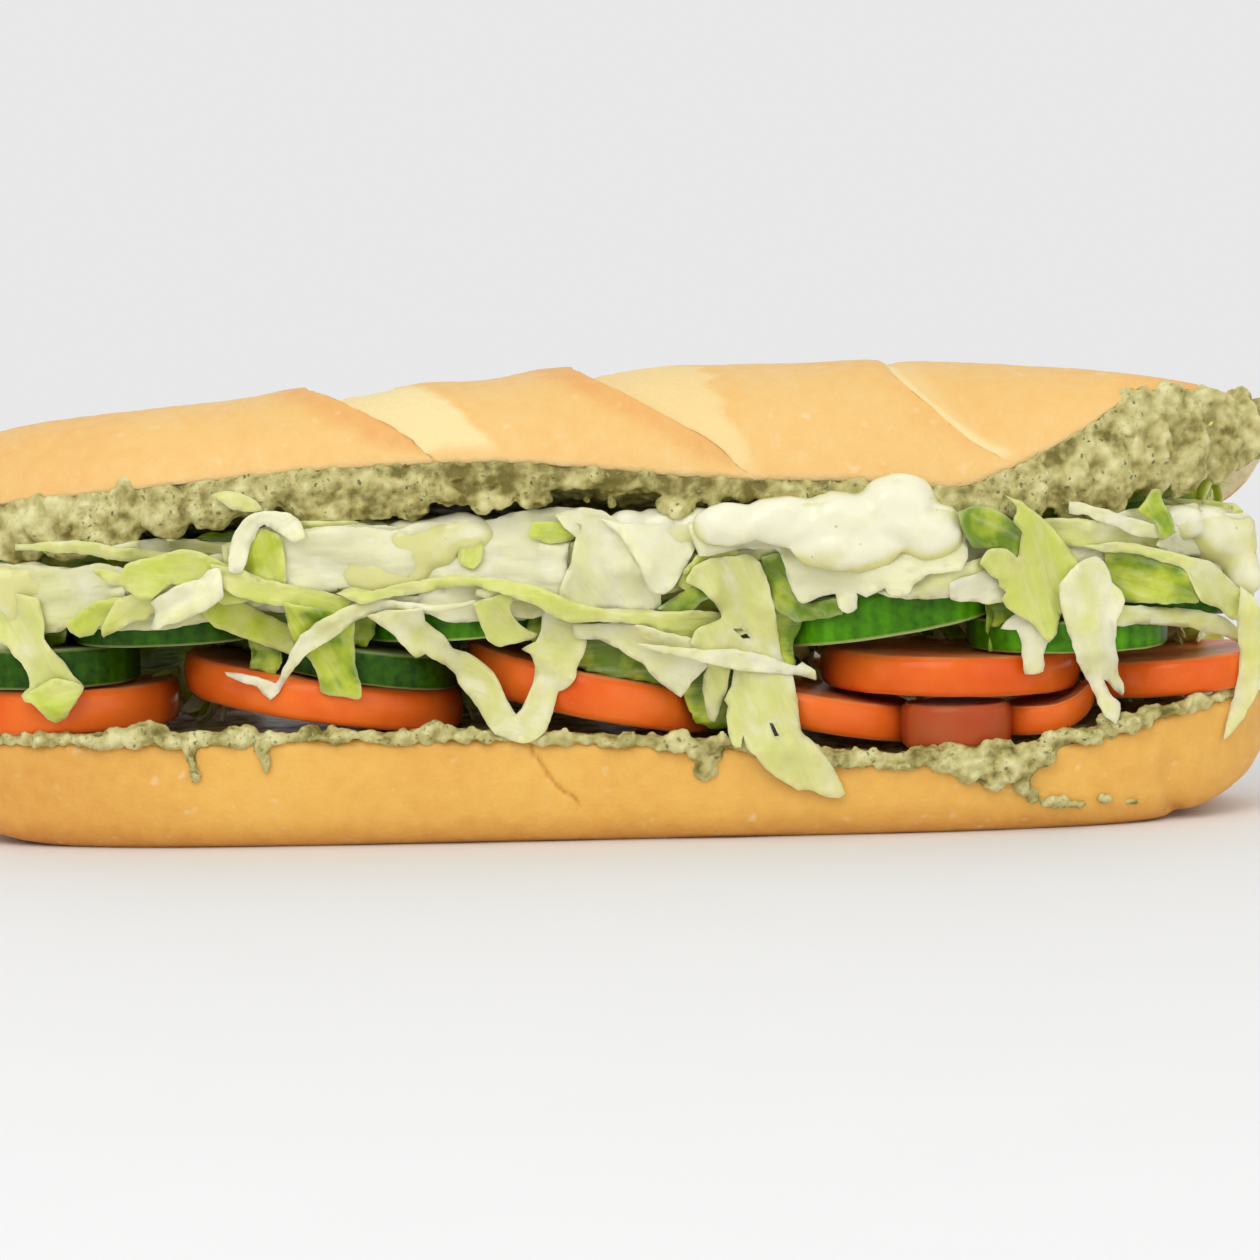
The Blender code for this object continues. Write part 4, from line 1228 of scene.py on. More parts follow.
def add_slab(work: bmesh.types.BMesh, columns: list) -> None:
    """Add a closed layer to a mesh in progress.

    Args:
        work: The mesh in progress, in metres.
        columns: Rows of (x, y, low, high) in millimetres.
    """
    rows, count = len(columns), len(columns[0])
    low = [[work.verts.new(Vector((x, y, a)) * MM) for x, y, a, b in row] for row in columns]
    high = [[work.verts.new(Vector((x, y, b)) * MM) for x, y, a, b in row] for row in columns]
    for row in range(rows - 1):
        for step in range(count - 1):
            corners = ((row, step), (row, step + 1), (row + 1, step + 1), (row + 1, step))
            work.faces.new([low[r][s] for r, s in corners])
            work.faces.new([high[r][s] for r, s in corners[:1] + corners[:0:-1]])
    border = [(0, step) for step in range(count)] + [(row, count - 1) for row in range(1, rows)]
    border += [(rows - 1, step) for step in range(count - 2, -1, -1)]
    border += [(row, 0) for row in range(rows - 2, 0, -1)]
    for (r0, s0), (r1, s1) in zip(border, border[1:] + border[:1]):
        work.faces.new((low[r0][s0], high[r0][s0], high[r1][s1], low[r1][s1]))
    bmesh.ops.recalc_face_normals(work, faces=work.faces)


RIM_LUMPS = [Lump(*row) for row in (
    (-93.5, 21.6, 5.2, 2.2, 1.5), (-85.5, 22.6, 5.0, 2.2, 2.2), (-80.0, 21.4, 4.0, 2.0, 1.6),
    (-77.0, 19.4, 1.4, 1.6, 2.6), (-76.4, 15.6, 1.0, 1.2, 2.2), (-63.4, 20.0, 1.4, 1.5, 2.2),
    (-62.8, 17.0, 1.0, 1.1, 2.2), (-104.0, 21.4, 5.5, 1.8, 1.2), (-70.0, 21.2, 4.4, 1.6, 1.1),
    (-50.0, 21.6, 6.0, 1.7, 1.1), (-38.0, 21.4, 5.0, 1.8, 1.4), (-26.0, 20.9, 5.0, 1.5, 1.0),
    (-8.0, 20.2, 5.0, 1.7, 1.2), (4.0, 19.4, 4.5, 1.5, 1.0), (14.0, 18.4, 4.0, 1.6, 1.2),
    (20.6, 17.0, 3.4, 1.9, 2.0), (20.2, 14.0, 2.4, 1.6, 2.2), (48.0, 14.6, 5.0, 1.4, 1.0),
    (57.0, 14.0, 5.0, 1.6, 1.3), (66.5, 14.2, 4.6, 2.2, 2.2), (70.5, 12.8, 3.6, 2.5, 2.8),
    (74.8, 12.0, 3.8, 2.7, 3.6), (79.0, 12.8, 4.2, 2.7, 3.6), (83.5, 15.0, 4.0, 2.4, 2.8),
    (80.4, 9.4, 2.0, 1.9, 2.8), (82.4, 6.8, 1.6, 1.6, 1.8), (86.5, 5.6, 2.8, 1.3, 1.2),
    (90.6, 5.0, 2.6, 1.2, 1.0), (96.4, 5.6, 1.5, 1.2, 0.9), (102.0, 4.6, 1.5, 1.1, 0.8),
    (91.0, 18.4, 5.0, 1.9, 1.4), (62.0, 15.8, 4.0, 2.2, 1.8), (68.5, 16.0, 5.0, 2.4, 1.8),
    (75.5, 16.4, 4.2, 2.4, 2.0), (99.5, 20.8, 5.0, 1.8, 1.3), (108.0, 22.2, 5.0, 1.7, 1.2),
    (115.6, 23.4, 2.4, 1.6, 1.8),
)]
EDGE_LUMPS = [Lump(*row) for row in (
    (-117.0, -8.4, 4.0, 2.2, 2.6), (-109.0, -9.2, 5.0, 2.4, 2.8), (-100.0, -9.8, 5.0, 2.4, 2.6),
    (-92.0, -9.4, 4.4, 2.2, 2.2), (-104.7, -0.6, 1.7, 1.8, 1.7), (-88.3, -0.2, 2.1, 1.9, 2.1),
    (-118.0, -4.0, 5.0, 2.2, 4.0), (-111.0, -4.5, 5.0, 2.6, 4.0), (-104.0, -5.4, 4.6, 2.4, 4.4),
    (-97.0, -5.6, 5.0, 2.6, 4.6), (-89.0, -5.8, 5.0, 2.4, 4.8), (-80.5, -5.4, 5.2, 2.6, 4.8),
    (-72.0, -5.2, 4.8, 2.3, 4.6), (-64.0, -4.8, 4.6, 2.4, 4.4), (-55.0, -4.4, 4.8, 2.2, 4.0),
    (-46.0, -4.4, 4.8, 2.3, 3.8), (-50.0, -8.2, 6.0, 3.0, 3.4), (-41.0, -7.6, 5.0, 2.6, 3.0),
    (-34.0, -8.4, 3.6, 2.6, 2.4), (-11.0, -6.4, 3.6, 2.4, 2.4), (-38.0, -4.2, 4.4, 2.2, 3.6),
    (-30.5, -4.4, 4.4, 2.8, 3.2), (-25.5, -6.2, 4.4, 2.8, 2.2), (-20.6, -7.4, 2.6, 2.6, 2.2),
    (-17.0, -7.0, 2.2, 2.6, 2.4), (-13.0, -3.2, 4.0, 1.8, 2.6), (-5.0, -2.6, 4.4, 1.6, 2.2),
    (4.0, -2.6, 4.4, 1.6, 2.2), (16.4, -6.2, 3.2, 2.8, 2.0), (18.0, -3.6, 2.8, 2.2, 2.2),
    (28.0, -2.4, 4.8, 1.6, 2.0), (38.0, -2.2, 4.6, 1.6, 2.0), (48.0, -2.2, 4.6, 1.6, 2.0),
    (58.0, -2.4, 4.6, 1.7, 2.2), (67.0, -3.4, 4.2, 2.2, 3.2), (74.0, -5.0, 4.4, 2.6, 4.4),
    (82.0, -6.4, 4.6, 3.0, 5.4), (84.0, -3.0, 3.0, 3.0, 2.0), (90.5, -9.0, 5.0, 3.0, 7.0),
    (98.0, -11.6, 5.2, 3.2, 8.6), (105.5, -12.0, 5.2, 3.2, 9.2), (113.0, -11.6, 5.2, 3.0, 9.4),
    (120.0, -9.0, 4.6, 2.8, 8.6), (93.0, -16.0, 3.4, 2.6, 3.0), (125.0, -5.0, 4.4, 3.6, 8.0),
    (128.6, -3.0, 3.2, 5.0, 6.0), (117.0, -1.2, 4.0, 2.2, 2.4), (110.0, -0.8, 3.6, 2.2, 2.0),
    (103.5, -0.4, 3.2, 2.0, 2.0),
)]


@dataclass
class Spread:
    """Herb cream on both cut faces, melted into one skin with the lumps and runs at the front."""
    roll: Roll = ROLL
    finish: HerbCream = HerbCream()
    flake_finish: HerbFlake = HerbFlake()
    end_gap: float = 8.0
    lip: float = 0.9
    gap: float = -0.2
    columns: int = 120
    rows: int = 20
    voxel: float = 0.5
    flakes: float = 0.09
    flake: float = 0.48
    herbs_end: float = -30.0
    # Two lumps of cream, as (x, z), that get a painted highlight
    lit_lumps: tuple = ((-17.0, 65.6), (16.6, 63.6))

    def grid(self, low_high: object, start: float, end: float) -> list:
        """Columns over a strip of a cut face.

        Args:
            low_high: Gives the lowest and highest place of the cream at x, y and t, front to back.
            start: Fraction of the depth where the strip begins.
            end: Fraction where it ends.

        Returns:
            Rows of (x, y, low, high).
        """
        found = []
        for index in range(self.rows + 1):
            t = start + (end - start) * index / self.rows
            row = []
            for step in range(self.columns + 1):
                x = (self.roll.half_length - self.end_gap) * (2 * step / self.columns - 1)
                y = self.roll.width(x) * (2 * t - 1) - self.lip * ease(1 - t / 0.02)
                row.append((x, y, *low_high(x, y, t)))
            found.append(row)
        return found

    def lower_layer(self, x: float, y: float, t: float) -> tuple:
        """Lowest and highest place of the cream on the lower half.

        Args:
            x: Place along the roll.
            y: Place across it.
            t: Fraction of the way from front to back.

        Returns:
            Both heights.
        """
        low = self.roll.lower_cut(x, y) + self.gap
        high = low + 1.2 + 0.7 * (1 - t)
        for cut in TOMATOES:
            if math.hypot(x - cut.x, y - cut.y) < cut.radius + 1:
                under = cut.z + (x - cut.x) * math.tan(math.radians(cut.lean)) - cut.thickness / 2 - 0.2
                high = min(high, under)
        return low, max(high, low + 0.9)

    def upper_layer(self, x: float, y: float, t: float) -> tuple:
        """Lowest and highest place of the cream under the upper half.

        Args:
            x: Place along the roll.
            y: Place across it.
            t: Fraction of the way from front to back.

        Returns:
            Both heights.
        """
        high = self.roll.upper_cut(x, y) - self.gap
        front = 4.0 + 2.4 * ease((-x - 40) / 40) + 2.6 * ease((x - 70) / 25)
        thick = front * (1 - t) + 1.4 * t + 0.9 * rough((x, y, 5.0), 9.0)
        return high - max(thick, 1.2), high

    def layer(self, name: str, node: str, low_high: object, lumps: list) -> Piece:
        """Build one layer of cream: a fine strip at the front with its lumps, and a plainer one behind.

        Args:
            name: The piece's name.
            node: The CAD node that it stands for.
            low_high: As for grid.
            lumps: Middle and half sizes of each lump.

        Returns:
            The front strip as an object.
        """
        material = self.finish.build("herb cream " + name)
        for part, start, end, voxel in (("_back", 0.2, 0.94, 1.1), ("", 0.0, 0.24, self.voxel)):
            work = bmesh.new()
            add_slab(work, self.grid(low_high, start, end))
            for number, (centre, halves) in enumerate(lumps if not part else []):
                add_ball(work, centre, halves, number * 3.1)
            made = from_work(name + part, work, material)
            melt(made, voxel, 1)
            amounts = [0.7 * rough(point, 4.6) + 0.5 * rough(point, 1.9, 3) for point in places(made)]
            swell(made, [amount * (0.35 if part else 1.0) - 0.05 for amount in amounts])
            # Painted light and shade go into relief: the cream is paler where it stands out and on two lit
            # lumps, and the middle of the upper layer is darkened as it is set back in the roll's own shade
            shade = 0.24 if name.endswith("upper") else 0.0
            set_values(made, "relief", [self.painted_light_and_shade(point, amount, shade)
                                        for point, amount in zip(places(made), amounts)])
            hand_over(made, (node,))
        return made

    def painted_light_and_shade(self, point: tuple, amount: float, shade: float) -> float:
        """Painted light and shade on the cream: paler where it stands out and on the two lit lumps, darker in
        its hollows and in the roll's shade.
        """
        x, _, z = point
        crumbs = sum(0.5 * math.exp(-((x - middle) / 4) ** 2 - ((z - level) / 2) ** 2)
                     for middle, level in self.lit_lumps)
        return 0.5 * amount - shade * ease(1.5 - abs(x - 8) / 45) + crumbs

    def crumbs(self, count: int, seed: int, height: object, least: float, most: float) -> list:
        """Small lumps along the front, drawn at random.

        Args:
            count: How many.
            seed: Seed of the draw.
            height: Gives the edge's height at a place along the roll.
            least: Lowest place, measured from the edge.
            most: Highest place, measured from the edge.

        Returns:
            Middle and half sizes of each.
        """
        draw = random.Random(seed)
        found = []
        for _ in range(count):
            x, size = draw.uniform(-123, 127), draw.uniform(0.6, 1.5)
            y = -self.roll.width(x) - draw.uniform(-0.6, 0.9)
            found.append(((x, y, height(x) + draw.uniform(least, most)),
                          (size * draw.uniform(0.8, 1.6), size, size * draw.uniform(0.7, 1.1))))
        return found

    def scatter(self, cream: Piece, seed: int) -> None:
        """Scatter flakes of chopped herb over a layer's skin.

        Args:
            cream: The layer.
            seed: Seed for places and turns.
        """
        amounts = {"Flakes per area": self.flakes / MM ** 2, "Flake size": self.flake * MM}
        plan = Scatter("herb flakes", amounts, (0.45, 1.5), 0.5, (seed, seed + 1, seed + 2))
        ball = add_node(plan.tree, "GeometryNodeMeshIcoSphere", {"Radius": plan.source["Flake size"],
                                                                 "Subdivisions": 1})
        thin = add_node(plan.tree, "GeometryNodeTransform", {"Geometry": ball, "Scale": (1.0, 0.55, 0.2)})
        made = copy_piece(cream, cream.name.replace("spread", "herbs"))
        self.strip_back(made)
        material = self.flake_finish.build("chopped herb " + cream.name)
        plan.cover(made, plan.source["Flakes per area"], thin, material)
        hand_over(made)

    def strip_back(self, piece: Piece) -> None:
        """Keep only the faces of a copied skin that show at the front.

        Args:
            piece: The copied skin.
        """
        work = bmesh.new()
        work.from_mesh(piece.data)
        hidden = [face for face in work.faces
                  if face.calc_center_median().y > self.herbs_end * MM or face.normal.y > 0.1]
        bmesh.ops.delete(work, geom=hidden, context="FACES")
        work.to_mesh(piece.data)
        work.free()

    def build(self) -> None:
        """Build both layers with their flakes of herb."""
        roll = self.roll
        rim = []
        for lump in RIM_LUMPS:
            drop = max(0.0, 1 - lump.z / roll.lower_rim(lump.x, -roll.width(lump.x)))
            y = -roll.width(lump.x) * (1 - drop ** roll.lower_power) ** (1 / Bread.fullness)
            rim.append(((lump.x, y - 0.3, lump.z), (lump.half_x, lump.half_y, lump.half_z)))
        edge = []
        for lump in EDGE_LUMPS:
            y = -roll.width(lump.x)
            edge.append(((lump.x, y + 0.6, roll.upper_cut(lump.x, y) + lump.z),
                         (lump.half_x, lump.half_y, lump.half_z)))
        rim += self.crumbs(150, 41, lambda x: roll.lower_rim(x, -roll.width(x)), -0.4, 2.2)
        edge += self.crumbs(110, 43, lambda x: roll.upper_cut(x, -roll.width(x)), -6.5, -1.0)
        lower = self.layer("spread_lower", "spread_bottom", self.lower_layer, rim)
        upper = self.layer("spread_upper", "spread_top", self.upper_layer, edge)
        self.scatter(lower, 21)
        self.scatter(upper, 31)


MAYONNAISE = {
    "mayonnaise_1": (Lump(-56, 58.0, 5.0, 2.6, 4.0), Lump(-46, 57.0, 9.0, 3.2, 5.4),
                     Lump(-34, 57.0, 9.0, 3.4, 5.4), Lump(-25, 59.0, 7.0, 3.0, 4.0),
                     Lump(-40, 52.0, 10.0, 2.2, 4.0)),
    "mayonnaise_2": (Lump(6.0, 60.0, 5.0, 2.6, 3.4), Lump(13, 58.0, 7.5, 3.4, 5.8),
                     Lump(19, 59.6, 6.0, 3.0, 4.2)),
    "mayonnaise_3": (Lump(26, 60.4, 7.0, 3.0, 4.0), Lump(36, 60.8, 9.0, 3.8, 5.0),
                     Lump(47, 60.2, 9.0, 4.0, 6.0), Lump(57.5, 61.6, 8.0, 5.6, 7.6),
                     Lump(64.0, 57.6, 6.4, 5.0, 6.0), Lump(48, 55.4, 11.0, 2.6, 4.6)),
    "mayonnaise_4": (Lump(112, 57.4, 5.0, 2.6, 3.4), Lump(117, 55.6, 6.0, 3.0, 5.4),
                     Lump(122, 54.0, 5.4, 3.2, 5.8), Lump(124.6, 47.4, 3.6, 2.4, 4.6)),
    "mayonnaise_5": (Lump(-113, 48.4, 6.0, 3.6, 6.6), Lump(-107, 51.0, 5.4, 2.8, 4.6),
                     Lump(-112, 42.0, 5.0, 2.6, 4.8)),
}


@dataclass
class Pools:
    """Mayonnaise in five pools, each melted from rounded lumps and laid over what is behind it."""
    roll: Roll = ROLL
    finish: Mayonnaise = Mayonnaise()
    voxel: float = 0.6

    def build(self, behind: list) -> None:
        """Build and hand over every pool.

        Args:
            behind: Search trees of what the pools lie on; mayonnaise is yellower where it is thin over it.
        """
        material = self.finish.build("egg mayonnaise")
        for node, lumps in MAYONNAISE.items():
            low = np.array(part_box(node)[0]) / MM
            work = bmesh.new()
            for number, lump in enumerate(lumps):
                start = Vector((lump.x, IN_FRONT, lump.z)) * MM
                hits = [tree.ray_cast(start, BACKWARDS)[0] for tree in behind]
                rest = min([hit.y for hit in hits if hit is not None], default=low[1] * MM) / MM
                least, most = low[1] - 1.5 + lump.half_y, low[1] + 3.0 + lump.half_y
                y = min(max(rest + 0.35 * lump.half_y, least), most)
                add_ball(work, (lump.x, y, lump.z), (lump.half_x, lump.half_y, lump.half_z), number * 2.3)
            made = from_work(node + "_pool", work, material)
            melt(made, self.voxel, 14)
            swell(made, [0.15 + 0.7 * rough(point, 7.0, 2) for point in places(made)])
            thin = []
            for vertex in made.data.vertices:
                hits = [tree.ray_cast(vertex.co, BACKWARDS)[3] for tree in behind]
                deep = min([hit for hit in hits if hit is not None], default=6 * MM) / MM
                # Yellower where the mayonnaise is thin over what lies behind it, and yellower and darker
                # towards the lower part of each pool
                thin.append(0.45 * (1 - ease(deep / 3.5)) + 0.28 * ease((low[2] + 9 - vertex.co.z / MM) / 7))
            set_values(made, "thin", thin)
            hand_over(made, (node,))


@dataclass(frozen=True)
class Leaf:
    """A cut piece of leaf as seen from the front.

    Its tone runs from rib (0) to green (1), and its film of mayonnaise from none (0) to full (1). Its outline
    and each hole give the x and z of one corner after the other.
    """
    tone: float
    film: float
    outline: tuple
    holes: tuple = ()


UNDER = [Leaf(*row) for row in (
    (1, 0, (31.5, 53.7, 36, 54.4, 38.1, 47.2, 39.6, 44.7, 46.6, 45.8, 46.6, 42.8, 38.7, 41.1, 36.4,
     42.3, 33.8, 44.2)),
    (0.8, 0, (96.8, 53.4, 102.8, 52.9, 110.8, 50.4, 113, 48.5, 114.5, 43.2, 106.6, 43, 99.1, 43.5, 97.2,
     47.7)),
    (0.3, 0.1, (83.6, 59.7, 91.5, 59.9, 100.9, 58.6, 110.8, 56.8, 108.9, 53.5, 100.9, 53.3, 93.4, 53.8,
     87.7, 55.1)),
    (0.3, 0.45, (-113.8, 55.1, -106.6, 55, -99.1, 54.4, -93.4, 55.4, -88.1, 54.2, -88.5, 48.5, -93.4,
     46.7, -98.1, 44.6, -101.3, 42.4, -105.1, 41.7, -110.4, 41.1, -113.8, 41.2)),
    (0.62, 0.1, (-100.2, 44.3, -97.2, 46.4, -93.4, 48.6, -88.1, 49.3, -89.6, 45.3, -92.5, 41.8, -93.2,
     43.9, -94.9, 42.1, -97.5, 41.4, -99.4, 42.4)),
    (0.42, 0.15, (-90, 48.6, -85.8, 50.3, -81.3, 50.2, -81.3, 46.8, -83.6, 46.1, -84.3, 44.8, -87.7,
     44.2, -92.8, 41.6, -93, 43, -91.5, 45.9)),
    (0.55, 0, (-74.9, 46.7, -70.4, 48.9, -67, 48, -62.8, 45.3, -57.2, 42.1, -56.4, 38.9, -57.5, 37.1,
     -61.7, 38.5, -67.9, 41.1, -71.5, 43.2)),
    (0.12, 0.75, (-59.4, 60.3, -55.7, 61, -49.1, 62, -42.5, 61.4, -36.8, 60.6, -33, 62, -20.8, 61.7,
     -14.2, 63.4, -6.6, 64, -0.9, 63.5, -4.3, 57.6, -5.1, 51.9, -6, 47.8, -9.4, 48.2, -14.2, 49.5,
     -21.7, 50.4, -31.1, 50.8, -36.8, 50, -42.5, 49.4, -48.1, 49.9, -50.9, 48.4, -55.7, 49.7, -59.1,
     51.2)),
    (0.62, 0.1, (-25.1, 58.4, -20.9, 58.7, -20.9, 54.9, -22.5, 53.1, -25.1, 54.2)),
    (0.7, 0.1, (-11.5, 61.5, -6.6, 61.8, -2.1, 60.9, -4, 57.9, -8.1, 57.6, -12.3, 58.9)),
    (0.68, 0.05, (-65.1, 58, -62.8, 61.5, -60.4, 61.1, -58.3, 59.9, -57.9, 51.2, -62.8, 52.1, -67, 53.7,
     -65.8, 55.9)),
    (0.2, 0.5, (-7, 62.9, -1.9, 64.1, 1.7, 63.5, 5.7, 61.1, 8.5, 57.3, 10.4, 53.4, 12.3, 49.6, 12.3,
     44.7, 4.7, 44.5, -2.8, 44.7, -7, 46.7, -6.2, 49.1, -4.3, 53.8, -3.2, 58.5, -5.5, 60.6)),
    (0.12, 0.7, (0.9, 62.3, 8.5, 60.7, 17.9, 60.8, 19.8, 57, 16, 50.5, 13.2, 47.7, 10.4, 48.5, 8.5,
     53.5, 4.7, 59.2)),
    (0.58, 0.1, (15.7, 49.2, 17.2, 52.2, 19.8, 55.1, 22.5, 56.9, 27.4, 54.9, 24.3, 50.9, 22.8, 48.6,
     17.9, 47.6)),
    (1, 0, (11.9, 44.7, 14.5, 46.6, 17.9, 48.4, 22.5, 49.8, 24, 47.5, 20.2, 45.7, 17.9, 43.8, 14.5,
     43.2)),
    (0.15, 0.8, (17.9, 60.8, 27.4, 62.9, 38.7, 64.1, 53.8, 64.5, 68.9, 61.5, 70.4, 54, 68.9, 51, 63.2,
     50.4, 60.2, 48.5, 58.7, 46.7, 55.7, 46.4, 54.5, 47.9, 53, 47, 51.1, 46.1, 49.4, 46.9, 49.4, 44.1,
     47.7, 43.2, 45.8, 44.3, 45.5, 46.6, 42.5, 45.9, 39.1, 44.9, 37.5, 47.2, 36.4, 50.6, 35.7, 53.6,
     34.2, 55.2, 27.4, 55.3, 19.8, 54.7)),
    (0.15, 0.75, (109.6, 57.2, 121.7, 59.2, 127, 57.2, 127, 42.1, 123.2, 44.1, 120.2, 47.6, 116.8, 50.6,
     110.8, 51.9, 106.6, 54.1)),
)]
